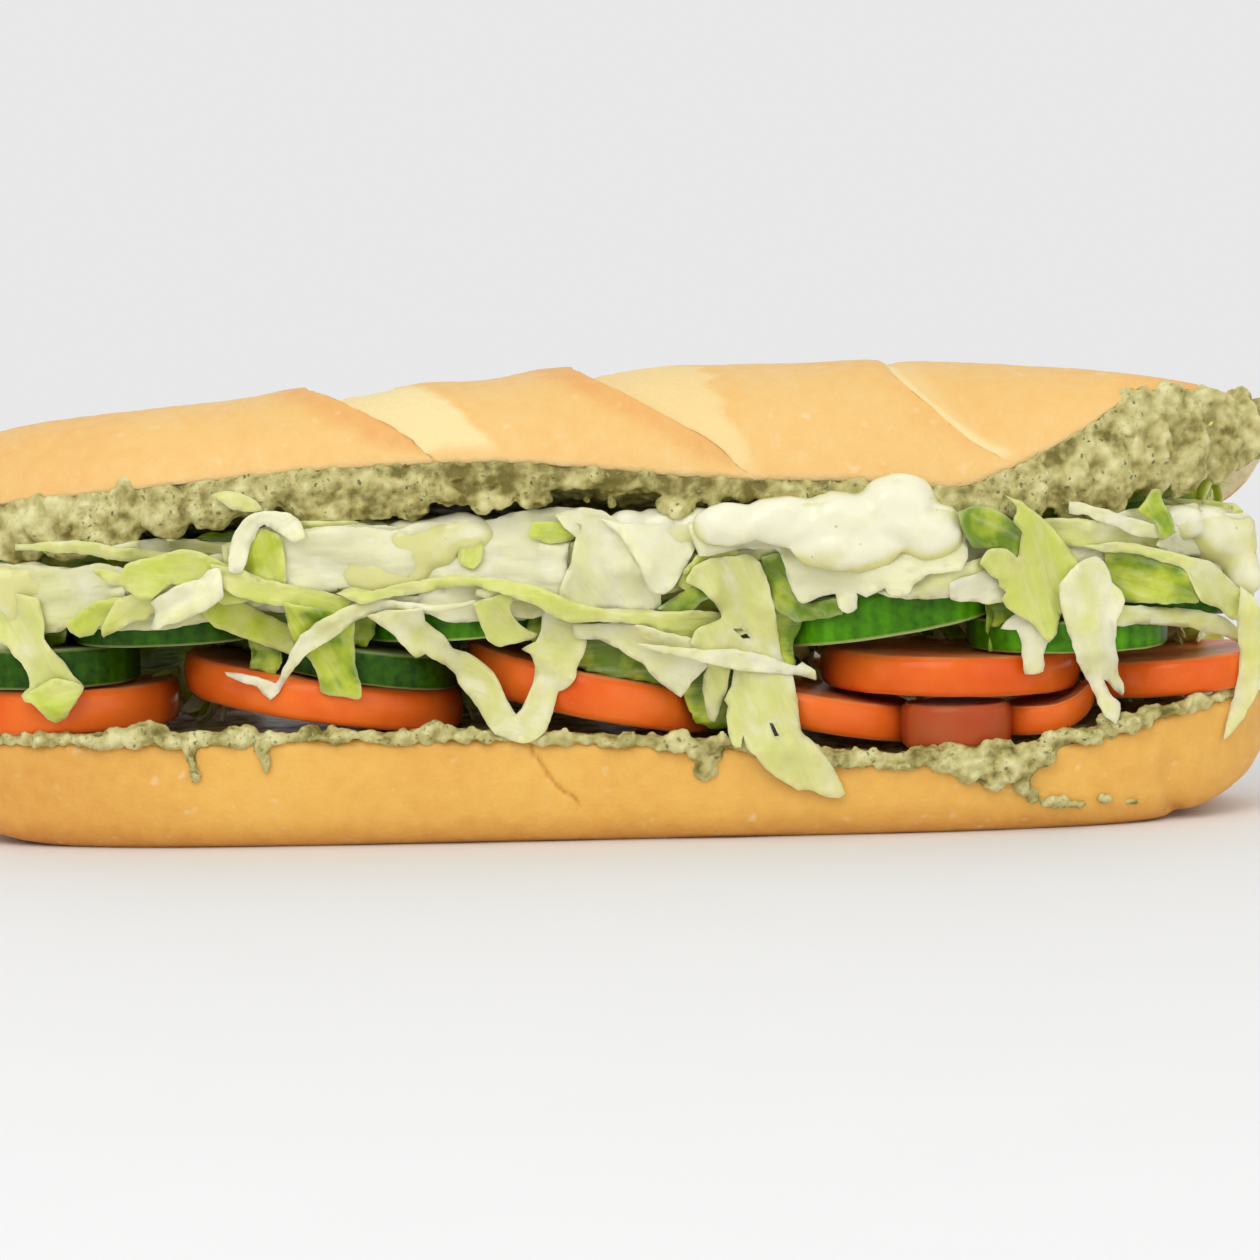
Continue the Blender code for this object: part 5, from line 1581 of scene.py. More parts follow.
OVER = [Leaf(*row) for row in (
    (0.45, 0, (-71.5, 67.9, -69.2, 69, -65.5, 68.2, -62.8, 66.6, -61.9, 65.1, -65.1, 64.8, -67.4, 65.2,
     -69.6, 66.8)),
    (0.56, 0.1, (-94.2, 54.3, -91.1, 54.6, -89.2, 53.8, -87.7, 55.5, -84.9, 56.5, -81.1, 57.4, -76.4,
     58.1, -73.4, 57.4, -70.4, 56, -67, 54.1, -62.8, 52.5, -60.9, 49.4, -69.6, 47.3, -73.8, 50.8, -79.1,
     51.7, -82.8, 49.1, -85.8, 49.6, -88.7, 51.4, -91.9, 52.2)),
    (0.5, 0.05, (-71.9, 55.3, -67, 54.3, -62.8, 52.7, -55.7, 50.6, -49.1, 48.9, -45.8, 47.2, -48.5,
     44.8, -55.7, 46.8, -62.3, 47.9, -67, 49, -70.4, 51.5)),
    (0.02, 0.3, (-83, 48.4, -81.1, 49.9, -78.3, 51.3, -75.1, 52.2, -73.4, 52.9, -72.3, 54.4, -70, 54.5,
     -69.6, 51.5, -69.4, 49.2, -71.5, 47.4, -74.5, 45.9, -77.4, 44.7, -80.6, 44, -81.9, 43.1, -83.4,
     43.5, -82.5, 45.7, -82.6, 47.1)),
    (0.03, 0.4, (-68.5, 53.9, -68.3, 57.1, -67.7, 59.7, -66.2, 62.5, -64, 64.4, -60.4, 65, -56.4, 64.4,
     -54.7, 62.7, -53.8, 60.2, -55.7, 59.1, -57.9, 60.3, -61.7, 62.4, -63.2, 60.8, -64.3, 58.5, -64.9,
     55.9, -65.8, 53.7, -67.4, 53.3)),
    (0.38, 0.15, (-113.8, 50.2, -105.8, 48.9, -104.7, 44.7, -104.7, 41, -102.5, 38.1, -99.8, 34.8,
     -97.4, 31.7, -98.5, 29.5, -99.8, 27.5, -101.3, 25.6, -102.8, 25.1, -104.3, 25.9, -105.8, 27.6,
     -107.2, 28.9, -108.5, 29.2, -109.2, 30.3, -107.7, 31.8, -108.1, 34.8, -109.6, 37.3, -111.9, 39.6,
     -113.8, 41.2)),
    (0.5, 0.05, (-109.1, 30.3, -106.6, 31.8, -102.8, 33.4, -99.4, 32.9, -97.4, 31.7, -98.5, 29.5, -99.8,
     27.5, -101.3, 25.6, -102.8, 25.1, -104.3, 25.9, -105.8, 27.6, -107.2, 28.9, -108.5, 29.2)),
    (0.8, 0, (-58.3, 47.8, -52.8, 46.8, -48.1, 45.7, -45.3, 44.1, -45.5, 39.6, -45.1, 34.9, -44.3, 30.2,
     -44.9, 28.7, -48.1, 29.3, -52.1, 30.1, -52.6, 33.6, -54.2, 36.8, -55.8, 38.7, -57.4, 41.8)),
    (0.06, 0.2, (-60.6, 32, -59.1, 34.6, -57.2, 38.4, -55.3, 41.3, -52.3, 43.9, -48.1, 45.9, -44.3,
     47.3, -40.6, 47.8, -34.9, 47.1, -29.2, 46.6, -25.5, 46.9, -22.1, 47.2, -23.6, 46.1, -29.2, 45.3,
     -34.9, 45.6, -39.6, 45.7, -42.5, 44.6, -45.8, 43.2, -48.9, 41, -51.9, 39.2, -54.7, 37.4, -57.2,
     34.4, -58.9, 32.2, -60, 30.3, -61.7, 29, -63, 29.8, -64.2, 31.4, -67, 32.2, -70, 33.4, -70.4, 34.1,
     -67, 33.9, -63.2, 32.7)),
    (0.5, 0.2, (-22.8, 46.6, -19.8, 47.5, -16, 48.8, -13.8, 48, -15.7, 46.3, -15.5, 44.2, -14.5, 42.3,
     -12.6, 40.8, -10.9, 40.2, -12.3, 39.1, -15.1, 38.4, -17.9, 38, -20.2, 39.2, -21.1, 41.3, -22.1,
     44.4)),
    (0.28, 0.15, (-42.8, 44.7, -38.3, 45.7, -32.3, 45.9, -31.9, 43.5, -30, 41.5, -28.1, 39.6, -27, 37.7,
     -23.6, 36.3, -20.8, 34.3, -19.4, 32.8, -17.9, 29.6, -16.4, 26.7, -15.3, 25.3, -14.3, 26.1, -13,
     28.5, -11.9, 31.3, -11.5, 34.1, -12.3, 36.4, -14, 37.4, -11.3, 38.8, -10.4, 40.7, -10, 43, -9.6,
     45.2, -6.2, 44.8, -3.6, 42.1, -1.7, 38.6, -2.3, 35.8, -3.6, 33.4, -4.2, 31.1, -5.7, 29.7, -7.2,
     29.3, -7.9, 27.1, -8.9, 23.9, -9.8, 21.8, -13, 20, -16, 20.3, -19.4, 21.7, -20.6, 23.4, -22.6,
     26.3, -24.7, 29, -26.2, 30.9, -27.2, 33.2, -30, 35.5, -32.1, 36.9, -34, 36.3, -36, 38.5, -38.3,
     41.2, -40.6, 42.9)),
    (0.42, 0.1, (-48.5, 49.1, -45.8, 50, -41.5, 49.5, -36.8, 50.6, -32.1, 51.4, -27.4, 52, -21.7, 51.7,
     -16, 51, -10.4, 49.6, -6.6, 48, -3.8, 46.4, 0.9, 45.2, 10.4, 44.6, 19.8, 44, 27.4, 42.5, 28.9,
     39.4, 22.8, 38.1, 17.9, 37, 14.2, 39.8, 8.5, 41.8, 0.9, 42.7, -3.8, 42.4, -7.4, 44, -10.8, 46,
     -14.5, 47.4, -17.9, 48.8, -21.7, 49.8, -27.4, 49.8, -32.1, 48.9, -36.8, 48.3, -44, 47.3)),
    (0.12, 0.35, (-4.3, 42.1, 0.9, 42.1, 8.5, 42, 17.9, 38.9, 21.3, 36.6, 21.7, 34.3, 19.8, 32.1, 17.9,
     30.4, 17, 28.8, 16, 27.5, 14.9, 28.1, 13.2, 29.6, 11.3, 31.2, 8.9, 34.2, 6.6, 35.4, 4.3, 37, 0.9,
     38.6, -3.6, 39.4)),
    (0.33, 0.2, (17.2, 49.9, 18.7, 52.5, 22.1, 54.1, 26.4, 54.2, 29.6, 54.3, 31.5, 52.8, 32.6, 50.1,
     33.4, 46.3, 34.2, 43.5, 34.5, 39.7, 34.9, 35.9, 35.7, 33.6, 36.8, 32.1, 37.7, 29.4, 38.1, 26.4,
     38.5, 20.7, 40.9, 18.4, 42.5, 16.5, 44, 14.6, 45.5, 11.5, 46.6, 8.7, 45.3, 8.1, 42.8, 8.4, 40.9,
     9.4, 39.8, 9.8, 37.7, 9.8, 34.9, 11.4, 32.1, 13.7, 30.2, 16, 28.3, 18.1, 27.5, 20.4, 27, 18.3,
     25.8, 18.2, 24.7, 20.9, 24.3, 23.9, 24.9, 25.6, 24.2, 26.7, 25.8, 30.1, 26.2, 32.3, 25.5, 33.1,
     24.7, 28.6, 23.4, 25.2, 22.3, 22.4, 21.3, 22.6, 20.6, 25.7, 20, 28.7, 20.4, 31.5, 21.3, 33.9, 19.8,
     35.9, 17.9, 38.2, 19.4, 40.8, 24, 42.6, 22.5, 45.6, 20.6, 47.9), ((26, 40.4, 27.7, 40.2, 29.4,
     38.3, 27.9, 38.3), (32.5, 22.6, 33.2, 22.5, 34.3, 20.1, 33.4, 20.1))),
    (0.1, 0.2, (7.7, 38.4, 17.9, 37.2, 27.4, 36.3, 33, 34.8, 35.7, 33.4, 38.1, 32.6, 39.1, 33.4, 41.5,
     31.8, 41.7, 29.9, 39.6, 30.5, 37.7, 30.9, 34.9, 31.2, 29.2, 32.1, 22.6, 33.7, 16, 35.8, 10.4,
     36.8)),
    (0.14, 0.2, (90, 62.8, 93, 62.7, 97.2, 61.1, 102.8, 59.1, 107.5, 57.7, 110.8, 56.4, 106.6, 55.4,
     102.8, 56.1, 97.2, 58.5, 93.4, 60.2, 90, 60.7)),
    (0.78, 0, (103, 60.6, 104.7, 62.6, 106, 64.7, 107.5, 64.6, 108.1, 62.2, 109.6, 59.7, 110.2, 56.5,
     107.7, 55, 106.6, 58.2)),
    (1, 0, (68.5, 61.9, 71.7, 62.8, 75.5, 62.3, 77.2, 61.2, 78.9, 59.8, 80.6, 58.3, 81.3, 54.5, 80,
     52.4, 77.4, 53.6, 74.5, 54.3, 71.5, 54.9, 69.8, 57.6, 68.9, 59.7)),
    (0.3, 0.1, (98.3, 43, 104.7, 42.4, 112.3, 41.5, 117.9, 40.2, 121.7, 38.3, 125.5, 34.8, 124.5, 33.3,
     118.9, 35.9, 112.3, 37.9, 104.7, 38.8, 97.9, 39.2)),
    (0.4, 0.2, (92.6, 54.6, 99.1, 55, 103.8, 54.2, 109.4, 52.7, 114.2, 51.5, 117, 50.6, 120.8, 47.5,
     124.3, 43.7, 125.8, 39.1, 122.1, 38.6, 118.9, 41.2, 115.1, 43.1, 113.2, 46.2, 112.3, 48.7, 110.8,
     50.2, 106.6, 51.3, 101.9, 52.7, 96.2, 53.2)),
    (0.14, 0.1, (76.8, 38.9, 78.1, 40.6, 80.2, 41.7, 83, 40.9, 85.5, 38.5, 85.7, 36.6, 84.9, 33.8, 84.7,
     30.6, 81.3, 30.3, 80.8, 33, 80.6, 36.8, 79.8, 38.5)),
    (0.52, 0.1, (77.5, 64.7, 80.2, 63.7, 83, 61.6, 84.9, 59.7, 87.4, 57, 89.6, 54.5, 91.3, 52.4, 91.7,
     48.8, 89.8, 46, 88.7, 42.2, 87.7, 40.4, 87.2, 38.1, 85.8, 36.4, 84.5, 37.8, 82.8, 40.1, 80.2, 41.7,
     77.9, 43.2, 77, 44.8, 77.9, 46.2, 76.6, 47.2, 76.2, 48.7, 74.2, 50.1, 72.6, 52, 74.2, 54.3, 77.9,
     54.4, 80, 52.6, 80.8, 57.5, 79.1, 59.6, 79.8, 62.1)),
    (0.1, 0.15, (88.1, 47.9, 89.8, 50.1, 92.5, 51.8, 94.9, 52.5, 96.4, 51.3, 97.4, 49.2, 97.9, 47.3,
     99.4, 45.8, 100.4, 43.9, 99.8, 41.6, 98.7, 40.1, 98.5, 36.3, 99.1, 32.6, 99.4, 29.2, 100.6, 26.9,
     100.2, 25.2, 98.3, 26.5, 96.4, 28.8, 97.5, 26.2, 99.4, 24.1, 99.2, 22, 98.3, 20.3, 96.4, 21.9,
     95.1, 24.2, 94, 27, 92.5, 29.9, 91.1, 32.7, 90, 36.5, 88.7, 40.3, 87.9, 44.1)),
    (0.26, 0.2, (123.6, 45.2, 125.8, 43.3, 127.7, 39.5, 128.1, 31.9, 127, 24.4, 124.5, 20.3, 122.6,
     17.3, 120.2, 15.3, 121.5, 20.4, 122.8, 25.4, 123.6, 32, 123, 37.7)),
)]


def pairs(numbers: tuple) -> list:
    """The corners of an outline, each as (x, z)."""
    return list(zip(numbers[::2], numbers[1::2]))


def curve(points: list, t: float) -> Vector:
    """A point at a fraction t along a smooth curve through the given points.

    Args:
        points: The given points.
        t: Fraction of the way, 0 to 1.

    Returns:
        The point.
    """
    place = t * (len(points) - 1)
    index = min(int(place), len(points) - 2)
    t = place - index
    a, b = points[index], points[index + 1]
    before, after = points[max(index - 1, 0)], points[min(index + 2, len(points) - 1)]
    return blend(t, a, b, (b - before) / 2, (after - a) / 2)


def triangles(corners: np.ndarray, loops: list) -> np.ndarray:
    """The triangles of a filled outline that lie inside it and outside its holes.

    Args:
        corners: Points of the loops and of the inside.
        loops: Numbers of the points along each loop.

    Returns:
        One row of three point numbers for each triangle.
    """
    edges = [(a, b) for loop in loops for a, b in zip(loop, loop[1:] + loop[:1])]
    found = delaunay_2d_cdt([Vector(point) for point in corners], edges, [], 0, 1e-5)
    origin = [source[0] if source else 0 for source in found[3]]
    faces = np.array([[origin[corner] for corner in face] for face in found[2]])
    return faces[inside(corners[faces].mean(axis=1), [corners[loop] for loop in loops])]


def inside(points: np.ndarray, loops: list) -> np.ndarray:
    """Whether each point lies inside an odd number of the closed loops."""
    odd = np.zeros(len(points), bool)
    for loop in loops:
        for (x0, z0), (x1, z1) in zip(loop, np.roll(loop, -1, axis=0)):
            if z0 != z1:
                between = (points[:, 1] > z0) != (points[:, 1] > z1)
                odd ^= between & (points[:, 0] < x0 + (points[:, 1] - z0) * (x1 - x0) / (z1 - z0))
    return odd


@dataclass
class Leaves:
    """Leaf bodies gathered into one mesh, with the values that the finish reads."""
    points: list
    faces: list
    values: dict

    @classmethod
    def empty(cls) -> "Leaves":
        """Start with nothing."""
        return cls([], [], {key: [] for key in ("tone", "edge", "along", "side", "lot", "film")})

    def add(self, points: np.ndarray, faces: np.ndarray, thick: np.ndarray, values: dict) -> tuple:
        """Give a sheet of triangles a thickness and add it.

        Args:
            points: The sheet's points.
            faces: Its triangles.
            thick: Thickness at each point.
            values: The finish's values at each point.

        Returns:
            The points and faces of the new closed thin body alone.
        """
        corners = points[faces]
        flat = np.cross(corners[:, 1] - corners[:, 0], corners[:, 2] - corners[:, 0])
        normals = np.zeros(points.shape)
        for corner in range(3):
            np.add.at(normals, faces[:, corner], flat)
        normals /= np.linalg.norm(normals, axis=1, keepdims=True) + 1e-9
        body = np.concatenate((points + normals * thick[:, None] / 2, points - normals * thick[:, None] / 2))
        back = len(points)
        edges = {(int(face[k]), int(face[k - 2])) for face in faces for k in range(3)}
        made = [tuple(map(int, face)) for face in faces]
        made += [(c + back, b + back, a + back) for a, b, c in made]
        made += [(b, a, a + back, b + back) for a, b in edges if (b, a) not in edges]
        first = len(self.points)
        self.faces += [tuple(corner + first for corner in face) for face in made]
        self.points += [tuple(point) for point in body]
        for key, numbers in values.items():
            self.values[key] += list(numbers) * 2
        return body, made

    def piece(self, name: str, material: Finish) -> Piece:
        """Make one object of everything gathered."""
        made = make_piece(name, self.points, self.faces, material, self.values)
        face_outwards(made)
        return made


@dataclass
class Lettuce:
    """Shredded lettuce: a packed core, loose shreds scattered over it, and the long shreds that hang out."""
    roll: Roll = ROLL
    finish: CutLettuce = CutLettuce()
    setback: float = 5.0
    half_length: float = 119.0
    step: float = 0.9
    leaf: float = 0.4
    rib: float = 0.8
    seed: int = 17
    tangled: int = 46
    clear: float = 0.25
    sag_rounds: int = 90
    loose: float = 0.03

    def rim(self, corners: list, number: int) -> list:
        """Round an outline and fray it, with a point about every step along it.

        Args:
            corners: The outline's corners.
            number: The leaf's number, which seeds the fray.

        Returns:
            The points.
        """
        path = [Vector(corner) for corner in corners + corners[:1]]
        found, gone = [], 0.0
        for index in range(len(path) - 1):
            length = (path[index + 1] - path[index]).length
            count = max(1, round(length / self.step))
            for part in range(count):
                t = (index + part / count) / (len(path) - 1)
                point = (curve(path, t) + path[index].lerp(path[index + 1], part / count)) / 2
                out = (path[index + 1] - path[index]).orthogonal().normalized()
                shift = 0.26 * wave(gone / 1.5, number * 3.7, 0) + 0.25 * wave(gone / 5.0, number * 3.7, 7)
                found.append(tuple(point + out * shift))
                gone += length / count
        return found

    def fill(self, rims: list) -> tuple:
        """Fill an outline with an even grid of triangles.

        Args:
            rims: The points along the outline and along each hole.

        Returns:
            The points, those of the rims first, and the triangles.
        """
        low, high = rims[0].min(axis=0), rims[0].max(axis=0)
        pitch = 1.15 * self.step
        columns, rows = [np.arange(a + pitch / 2, b, pitch) for a, b in zip(low, high)]
        inner = np.array([(x + 0.45 * pitch * (k % 2), z) for k, z in enumerate(rows) for x in columns])
        border = np.concatenate(rims)
        inner = inner[inside(inner, rims)] if len(inner) else np.zeros((0, 2))
        if len(inner):
            gap = np.linalg.norm(inner[:, None] - border[None], axis=2).min(axis=1)
            inner = inner[gap > 0.5 * pitch]
        flat = np.concatenate((border, inner))
        starts = np.cumsum([0] + [len(loop) for loop in rims])
        return flat, triangles(flat, [list(range(a, b)) for a, b in zip(starts, starts[1:])])

    def settle(self, faces: np.ndarray, reach: np.ndarray, slack: float) -> np.ndarray:
        """Let a leaf sag towards what is behind it, smoothly from point to point.

        Args:
            faces: The leaf's triangles.
            reach: How far out the nearest thing behind each point is.
            slack: How far it sags in where nothing holds it.

        Returns:
            How far out each point comes to rest.
        """
        edges = np.concatenate([faces[:, [k, (k + 1) % 3]] for k in range(3)])
        edges = np.concatenate((edges, edges[:, ::-1]))
        degree = np.maximum(np.bincount(edges[:, 0], minlength=len(reach)), 1)
        out = reach.copy()
        for _ in range(self.sag_rounds):
            mean = np.bincount(edges[:, 0], weights=out[edges[:, 1]], minlength=len(reach)) / degree
            out = np.maximum(reach + self.clear, mean - slack)
        return out

    def hang(self, leaves: Leaves, leaf: Leaf, number: int, trees: list, slack: float) -> None:
        """Lay one leaf over what is behind it, and let later leaves lie on it.

        Args:
            leaves: Where its body is added.
            leaf: The leaf.
            number: Its place in the order, which seeds its waves.
            trees: What it may lie on, as (least x, greatest x, search tree); its own is added.
            slack: How far it sags in where nothing holds it.
        """
        rims = [np.array(self.rim(pairs(leaf.outline), number))]
        rims += [np.array(pairs(hole)) for hole in leaf.holes]
        low, high = rims[0].min(axis=0), rims[0].max(axis=0)
        border = np.concatenate(rims)
        flat, faces = self.fill(rims)
        # Only what shares a stretch of X with the leaf can hold it
        near = [tree for least, most, tree in trees if least < high[0] and most > low[0]]
        reach = np.array([self.reach(x, z, near) for x, z in flat])
        out = self.settle(faces, reach, slack)
        centred = flat - flat.mean(axis=0)
        grain = np.linalg.eigh(centred.T @ centred)[1][:, 1]
        along, side = centred @ grain, centred @ np.array((-grain[1], grain[0]))
        gap = np.array([np.linalg.norm(border - point, axis=1).min() for point in flat])
        size = min(abs(high - low).min() / 8, 1.0)
        waves = ((16, 4.0, 5.3), (3.2, 3.2, 2.9), (2.6, 1.3, 7.1))
        folds, curls, crinkles = [
            np.array([wave(a / length, b / width, number * lot) for a, b in zip(along, side)])
            for length, width, lot in waves]
        lift = (0.3 + size * (1.6 * folds + 0.5 * crinkles + 0.3)
                + np.exp(-gap / 1.4) * (0.35 + 1.1 * size * curls))
        depth = np.maximum(out + lift, reach + self.clear)
        body = self.leaf + (self.rib - self.leaf) * max(0.0, 1 - leaf.tone / 0.16) * (1 - np.exp(-gap / 0.8))
        # Painted highlight: edge pales each leaf along its rim
        values = {"tone": leaf.tone + 0.16 * folds, "edge": 0.25 * np.exp(-gap / 0.3),
                  "along": along, "side": side,
                  "lot": np.full(len(flat), float(number)), "film": np.full(len(flat), leaf.film)}
        points = np.stack((flat[:, 0], -depth, flat[:, 1]), axis=1)
        made, sides = leaves.add(points, faces, body * (1 - 0.5 * np.exp(-gap / 0.3)), values)
        trees.append((low[0], high[0], BVHTree.FromPolygons([Vector(point) * MM for point in made], sides)))

    def reach(self, x: float, z: float, trees: list) -> float:
        """How far out the nearest thing at (x, z) reaches towards the front.

        Args:
            x: Place along the roll.
            z: Height.
            trees: Search trees of the things.

        Returns:
            The reach in millimetres, at least a little inside the roll's edge.
        """
        origin = Vector((x, IN_FRONT, z)) * MM
        far = self.roll.width(min(max(x, -125), 125)) - 7.0
        for tree in trees:
            hit = tree.ray_cast(origin, BACKWARDS)[0]
            if hit is not None:
                far = max(far, -hit.y / MM)
        return far

    def tangle(self) -> list:
        """Long loose shreds that run along the open side, drawn at random."""
        draw = random.Random(self.seed)
        found = []
        for number in range(self.tangled):
            x = -120 + 240 * (number + draw.random()) / self.tangled
            top = min(self.roll.upper_cut(x, -self.roll.width(x)) - 13.5 - 3.0 * ease((-x - 60) / 30), 62.0)
            z = draw.uniform(49.0, max(top, 50.0))
            heading, length = draw.uniform(-0.4, 0.4), draw.uniform(24, 56)
            turn, width = draw.uniform(-0.9, 0.9), draw.choice((2.4, 3.2, 4.5, 6.0, 8.0))
            way = draw.choice((-1, 1))
            path = []
            for step in range(5):
                path.append(Vector((x, max(z, 47.0), width * (0.4 if step in (0, 4) else 1.0))))
                bent = heading + turn * (step / 4 - 0.4)
                x = min(max(x + way * math.cos(bent) * length / 4, -123), 123)
                z = min(z + math.sin(bent) * length / 4, max(top, 49.0))
            left, right = [], []
            for step in range(13):
                point = curve(path, step / 12)
                ahead = curve(path, min(step / 12 + 0.02, 1.0)) - curve(path, max(step / 12 - 0.02, 0.0))
                side = Vector((-ahead.y, ahead.x)).normalized() * point.z / 2
                left += [point.x + side.x, point.y + side.y]
                right = [point.x - side.x, point.y - side.y] + right
            found.append(Leaf(draw.choice((0.06, 0.16, 0.26, 0.36, 0.5, 0.7)), draw.choice((0.1, 0.3, 0.6)),
                              tuple(left + right)))
        return found

    def strands(self, core: Piece, material: Finish) -> list:
        """Build the shreds that show in order, each lying over the ones before it.

        Args:
            core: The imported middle.
            material: The leaf's finish.

        Returns:
            Search trees of what the mayonnaise lies on.
        """
        trees, pools = [], []
        for name, node in frame["nodes"].items():
            if name != "lettuce":
                spread = [vertex.co.x / MM for vertex in node.data.vertices]
                span = (min(spread), max(spread), search_tree(node))
                (pools if name in MAYONNAISE else trees).append(span)
        trees.append((-130, 130, search_tree(core)))
        graph = bpy.context.evaluated_depsgraph_get()
        for name in ("spread_lower", "spread_upper"):
            trees.append((-130, 130, BVHTree.FromObject(bpy.data.objects[name], graph)))
        leaves = Leaves.empty()
        for number, leaf in enumerate(self.tangle()):
            self.hang(leaves, leaf, number + 100, trees, 0.05)
        for number, leaf in enumerate(UNDER):
            self.hang(leaves, leaf, number + 50, trees, 0.03)
        hand_over(leaves.piece("lettuce_tangle", material))
        behind = [tree for least, most, tree in trees]
        trees += pools
        leaves = Leaves.empty()
        for number, leaf in enumerate(OVER):
            self.hang(leaves, leaf, number, trees, 0.01)
        hand_over(leaves.piece("lettuce_shreds", material), ("lettuce",))
        return behind

    def core_span(self, x: float, y: float, t: float) -> tuple:
        """Lowest and highest place of the core at x, y and t, front to back.

        Args:
            x: Place along the roll.
            y: Place across it.
            t: Fraction of the way from front to back.

        Returns:
            Both heights.
        """
        high = self.roll.upper_cut(x, y) - 6.0 - 2.0 * (1 - t)
        low = self.roll.lower_cut(x, y) + 2.0 + 3.0 * max(0.0, 1 - t * 6)
        for cut in TOMATOES + CUCUMBERS:
            if math.hypot(x - cut.x, y - cut.y) < cut.radius + 1.5:
                lean = math.tan(math.radians(cut.lean))
                low = max(low, cut.z + (x - cut.x) * lean + cut.thickness / 2 - 0.5)
        return min(low, high - 0.8), high

    def core(self, material: Finish) -> Piece:
        """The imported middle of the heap, uneven all over.

        Args:
            material: The leaf's finish.

        Returns:
            The core as an object.
        """
        columns = []
        for index in range(47):
            t = index / 46
            row = []
            for step in range(161):
                x = self.half_length * (2 * step / 160 - 1)
                y = (self.setback - self.roll.width(x)) * (1 - t) + (self.roll.width(x) - 3) * t
                row.append((x, y, *self.core_span(x, y, t)))
            columns.append(row)
        work = bmesh.new()
        add_slab(work, columns)
        made = from_work("lettuce_core", work, material)
        melt(made, 1.0, 1)
        found = places(made)
        swell(made, [1.2 * rough(point, 5.0) - 0.6 for point in found])
        # The core's front, seen through the gaps, is a darker green than its back: partly leaf colour, partly
        # painted shade inside the heap
        set_values(made, "tone", [(0.55 if point[1] > 5 else 0.95) + 0.5 * rough(point, 6.0)
                                  for point in found])
        set_values(made, "along", list(found[:, 0] + found[:, 1]))
        set_values(made, "side", list(found[:, 2] * 1.5))
        for key in ("edge", "lot", "film"):
            set_values(made, key, [0.0] * len(found))
        return made

    def variants(self, material: Finish) -> bpy.types.Collection:
        """A few loose shreds that the scatter picks from, in a collection of their own.

        Args:
            material: The leaf's finish.

        Returns:
            The collection.
        """
        group = bpy.data.collections.new("loose shreds")
        draw = random.Random(5)
        for number in range(7):
            length, width = draw.uniform(16, 30), draw.uniform(1.8, 4.5)
            tone = draw.choice((0.08, 0.2, 0.3, 0.4, 0.55, 0.75))
            bend, roll = draw.uniform(-0.9, 0.9), draw.uniform(-1.2, 1.2)
            grid, leaves = [], Leaves.empty()
            values = {key: [] for key in leaves.values}
            for index in range(15):
                u = index / 14 - 0.5
                middle = Vector((length * u, length * (u * u - 0.1) * bend, 1.6 * math.sin(u * 7 + number)))
                for step in range(5):
                    s = step / 2 - 1
                    half = width / 2 * (1 + 0.2 * wave(index / 2, number, step // 3))
                    half *= 1 - 0.5 * abs(2 * u) ** 6
                    offset = Vector((0, math.cos(roll * u), math.sin(roll * u))) * half * s
                    grid.append(tuple(middle + offset + Vector((0, 0, 0.5 * s * s))))
                    # Painted highlight: edge pales each strip along its two sides
                    for key, value in (("tone", tone), ("edge", 0.3 if abs(s) > 0.9 else 0.0), ("film", 0.2),
                                       ("along", length * u), ("side", half * s), ("lot", number * 7.0)):
                        values[key].append(value)
            faces = [face for index in range(14) for a in range(index * 5, index * 5 + 4)
                     for face in ((a, a + 1, a + 6), (a, a + 6, a + 5))]
            leaves.add(np.array(grid), np.array(faces), np.full(len(grid), 0.45), values)
            piece = leaves.piece("loose_%d" % number, material)
            bpy.context.scene.collection.objects.unlink(piece)
            group.objects.link(piece)
        return group

    def scatter(self, core: Piece, material: Finish) -> None:
        """Scatter loose shreds over the sides of the core with Geometry Nodes.

        Args:
            core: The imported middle.
            material: The leaf's finish.
        """
        group = self.variants(material)
        plan = Scatter("loose shreds", {"Shreds per area": self.loose / MM ** 2}, (0.6, 1.1), 0.4, (3, 6, 4),
                       pick=True)
        tree = plan.tree
        facing = add_node(tree, "SeparateXYZ", {0: add_node(tree, "GeometryNodeInputNormal")})
        level = add_node(tree, "Math", {0: facing.outputs["Z"]}, operation="ABSOLUTE")
        sides = add_node(tree, "MapRange", {"Value": level, "From Min": 0.45, "From Max": 0.75,
                                            "To Min": 1.0, "To Max": 0.0})
        # The open side has its own shreds, laid one by one
        where = add_node(tree, "SeparateXYZ", {0: add_node(tree, "GeometryNodeInputPosition")})
        rear = add_node(tree, "Math", {0: where.outputs["Y"], 1: -4 * MM}, operation="GREATER_THAN")
        far = add_node(tree, "Math", {0: where.outputs["X"]}, operation="ABSOLUTE")
        ends = add_node(tree, "Math", {0: far, 1: (self.half_length - 4) * MM}, operation="GREATER_THAN")
        free = add_node(tree, "Math", {0: rear, 1: ends}, operation="MAXIMUM")
        share = add_node(tree, "Math", {0: sides, 1: free}, operation="MULTIPLY")
        density = add_node(tree, "Math", {0: share, 1: plan.source["Shreds per area"]}, operation="MULTIPLY")
        shreds = add_node(tree, "GeometryNodeCollectionInfo",
                          {"Collection": group, "Separate Children": True, "Reset Children": True})
        made = copy_piece(core, "lettuce_loose")
        plan.cover(made, density.outputs[0], shreds, material)
        hand_over(made)
        for piece in list(group.objects):
            bpy.data.objects.remove(piece)
        bpy.data.collections.remove(group)

    def build(self) -> list:
        """Build the heap and return search trees of what the mayonnaise lies on."""
        material = self.finish.build("crisp lettuce")
        core = self.core(material)
        self.scatter(core, material)
        hand_over(core)
        return self.strands(core, material)


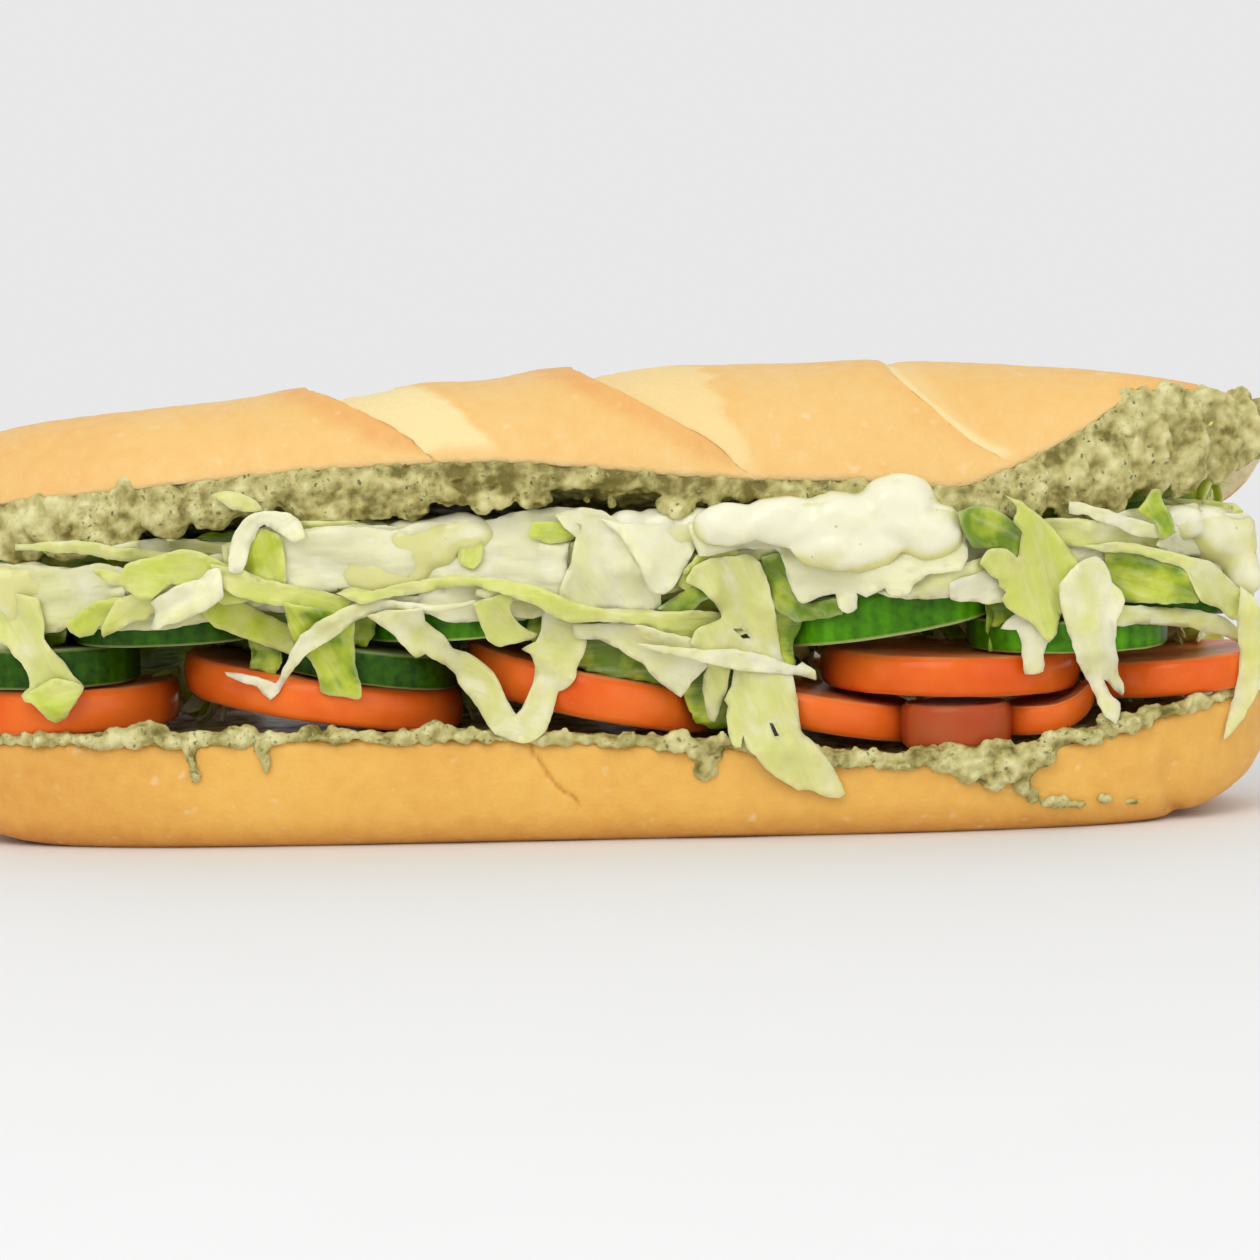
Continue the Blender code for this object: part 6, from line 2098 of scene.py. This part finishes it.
@dataclass
class Studio:
    """A plain pale floor, soft light, and a camera at the photo's viewing angle."""
    elevation: float = 5.5
    roll: float = 1.3
    distance: float = 900.0
    frame_width: float = 237.7
    aim: tuple = (6.6, -37.0, 40.7)
    sensor: float = 36.0

    def floor(self) -> None:
        """Build the floor; its far edge lies hidden behind the sandwich."""
        material, tree, shader, place = new_material("matt white table")
        grain = add_node(tree, "TexNoise", {"Vector": place, "Scale": per_mm(40), "Detail": 2.0})
        colour = add_node(tree, "ValToRGB", {0: grain}, stops=((0.3, "#E8E8E8"), (0.7, "#E9E9E9")))
        feed(shader, {"Base Color": colour, "Roughness": 0.8})
        points = [(x, y, 0.0) for y in (-1500.0, 440.0) for x in (-1500.0, 1500.0)]
        make_piece("floor", points, [(0, 1, 3, 2)], material)

    def lamp(self, name: str, place: tuple, size: float, power: float) -> None:
        """Add a soft square lamp that faces the sandwich.

        Args:
            name: The lamp's name.
            place: Where it hangs, in metres.
            size: Its side in metres.
            power: Its strength in watts.
        """
        data = bpy.data.lights.new(name, "AREA")
        data.size = size
        data.energy = power
        lamp = new_object(name, data)
        lamp.location = place
        lamp.rotation_euler = (Vector((0, 0, 0.04)) - Vector(place)).to_track_quat("-Z", "Y").to_euler()

    def camera(self) -> None:
        """Place the camera at the photo's height and distance, rolled as the photo is."""
        data = bpy.data.cameras.new("camera")
        data.sensor_width = self.sensor
        data.lens = self.sensor * self.distance / self.frame_width
        data.clip_end = 20.0
        lift, roll = math.radians(self.elevation), math.radians(self.roll)
        back = Vector((0, -math.cos(lift), math.sin(lift)))
        level, upright = Vector((1, 0, 0)), Vector((0, math.sin(lift), math.cos(lift)))
        right = level * math.cos(roll) - upright * math.sin(roll)
        top = upright * math.cos(roll) + level * math.sin(roll)
        camera = new_object("camera", data)
        place = (Vector(self.aim) + back * self.distance) * MM
        turn = Matrix((right, top, back)).transposed()
        camera.matrix_world = Matrix.Translation(place) @ turn.to_4x4()
        bpy.context.scene.camera = camera

    def build(self) -> None:
        """Set up the studio."""
        scene = bpy.context.scene
        scene.view_settings.view_transform = "Standard"
        world = bpy.data.worlds.new("soft room")
        world.use_nodes = True
        feed(world.node_tree.nodes["Background"], {"Color": "#FFFFFF", "Strength": 0.81})
        scene.world = world
        self.floor()
        self.lamp("key", (-0.4, -1.1, 1.0), 1.0, 8.0)
        self.lamp("fill", (0.8, -1.1, 0.5), 1.0, 2.0)
        self.camera()


def main() -> None:
    """Build the sandwich from the roll inwards, then the studio."""
    logging.basicConfig(level=logging.INFO, format="%(name)s: %(message)s")
    Bread().build()
    Spread().build()
    Slices(TOMATOES, Slot.TOMATO, FreshTomato(), bulge=0.035, corner=0.7).build()
    Slices(CUCUMBERS, Slot.CUCUMBER, FreshCucumber(), bulge=0.0, corner=0.6).build()
    behind = Lettuce().build()
    Pools().build(behind)
    Studio().build()


if __name__ == "__main__":
    main()
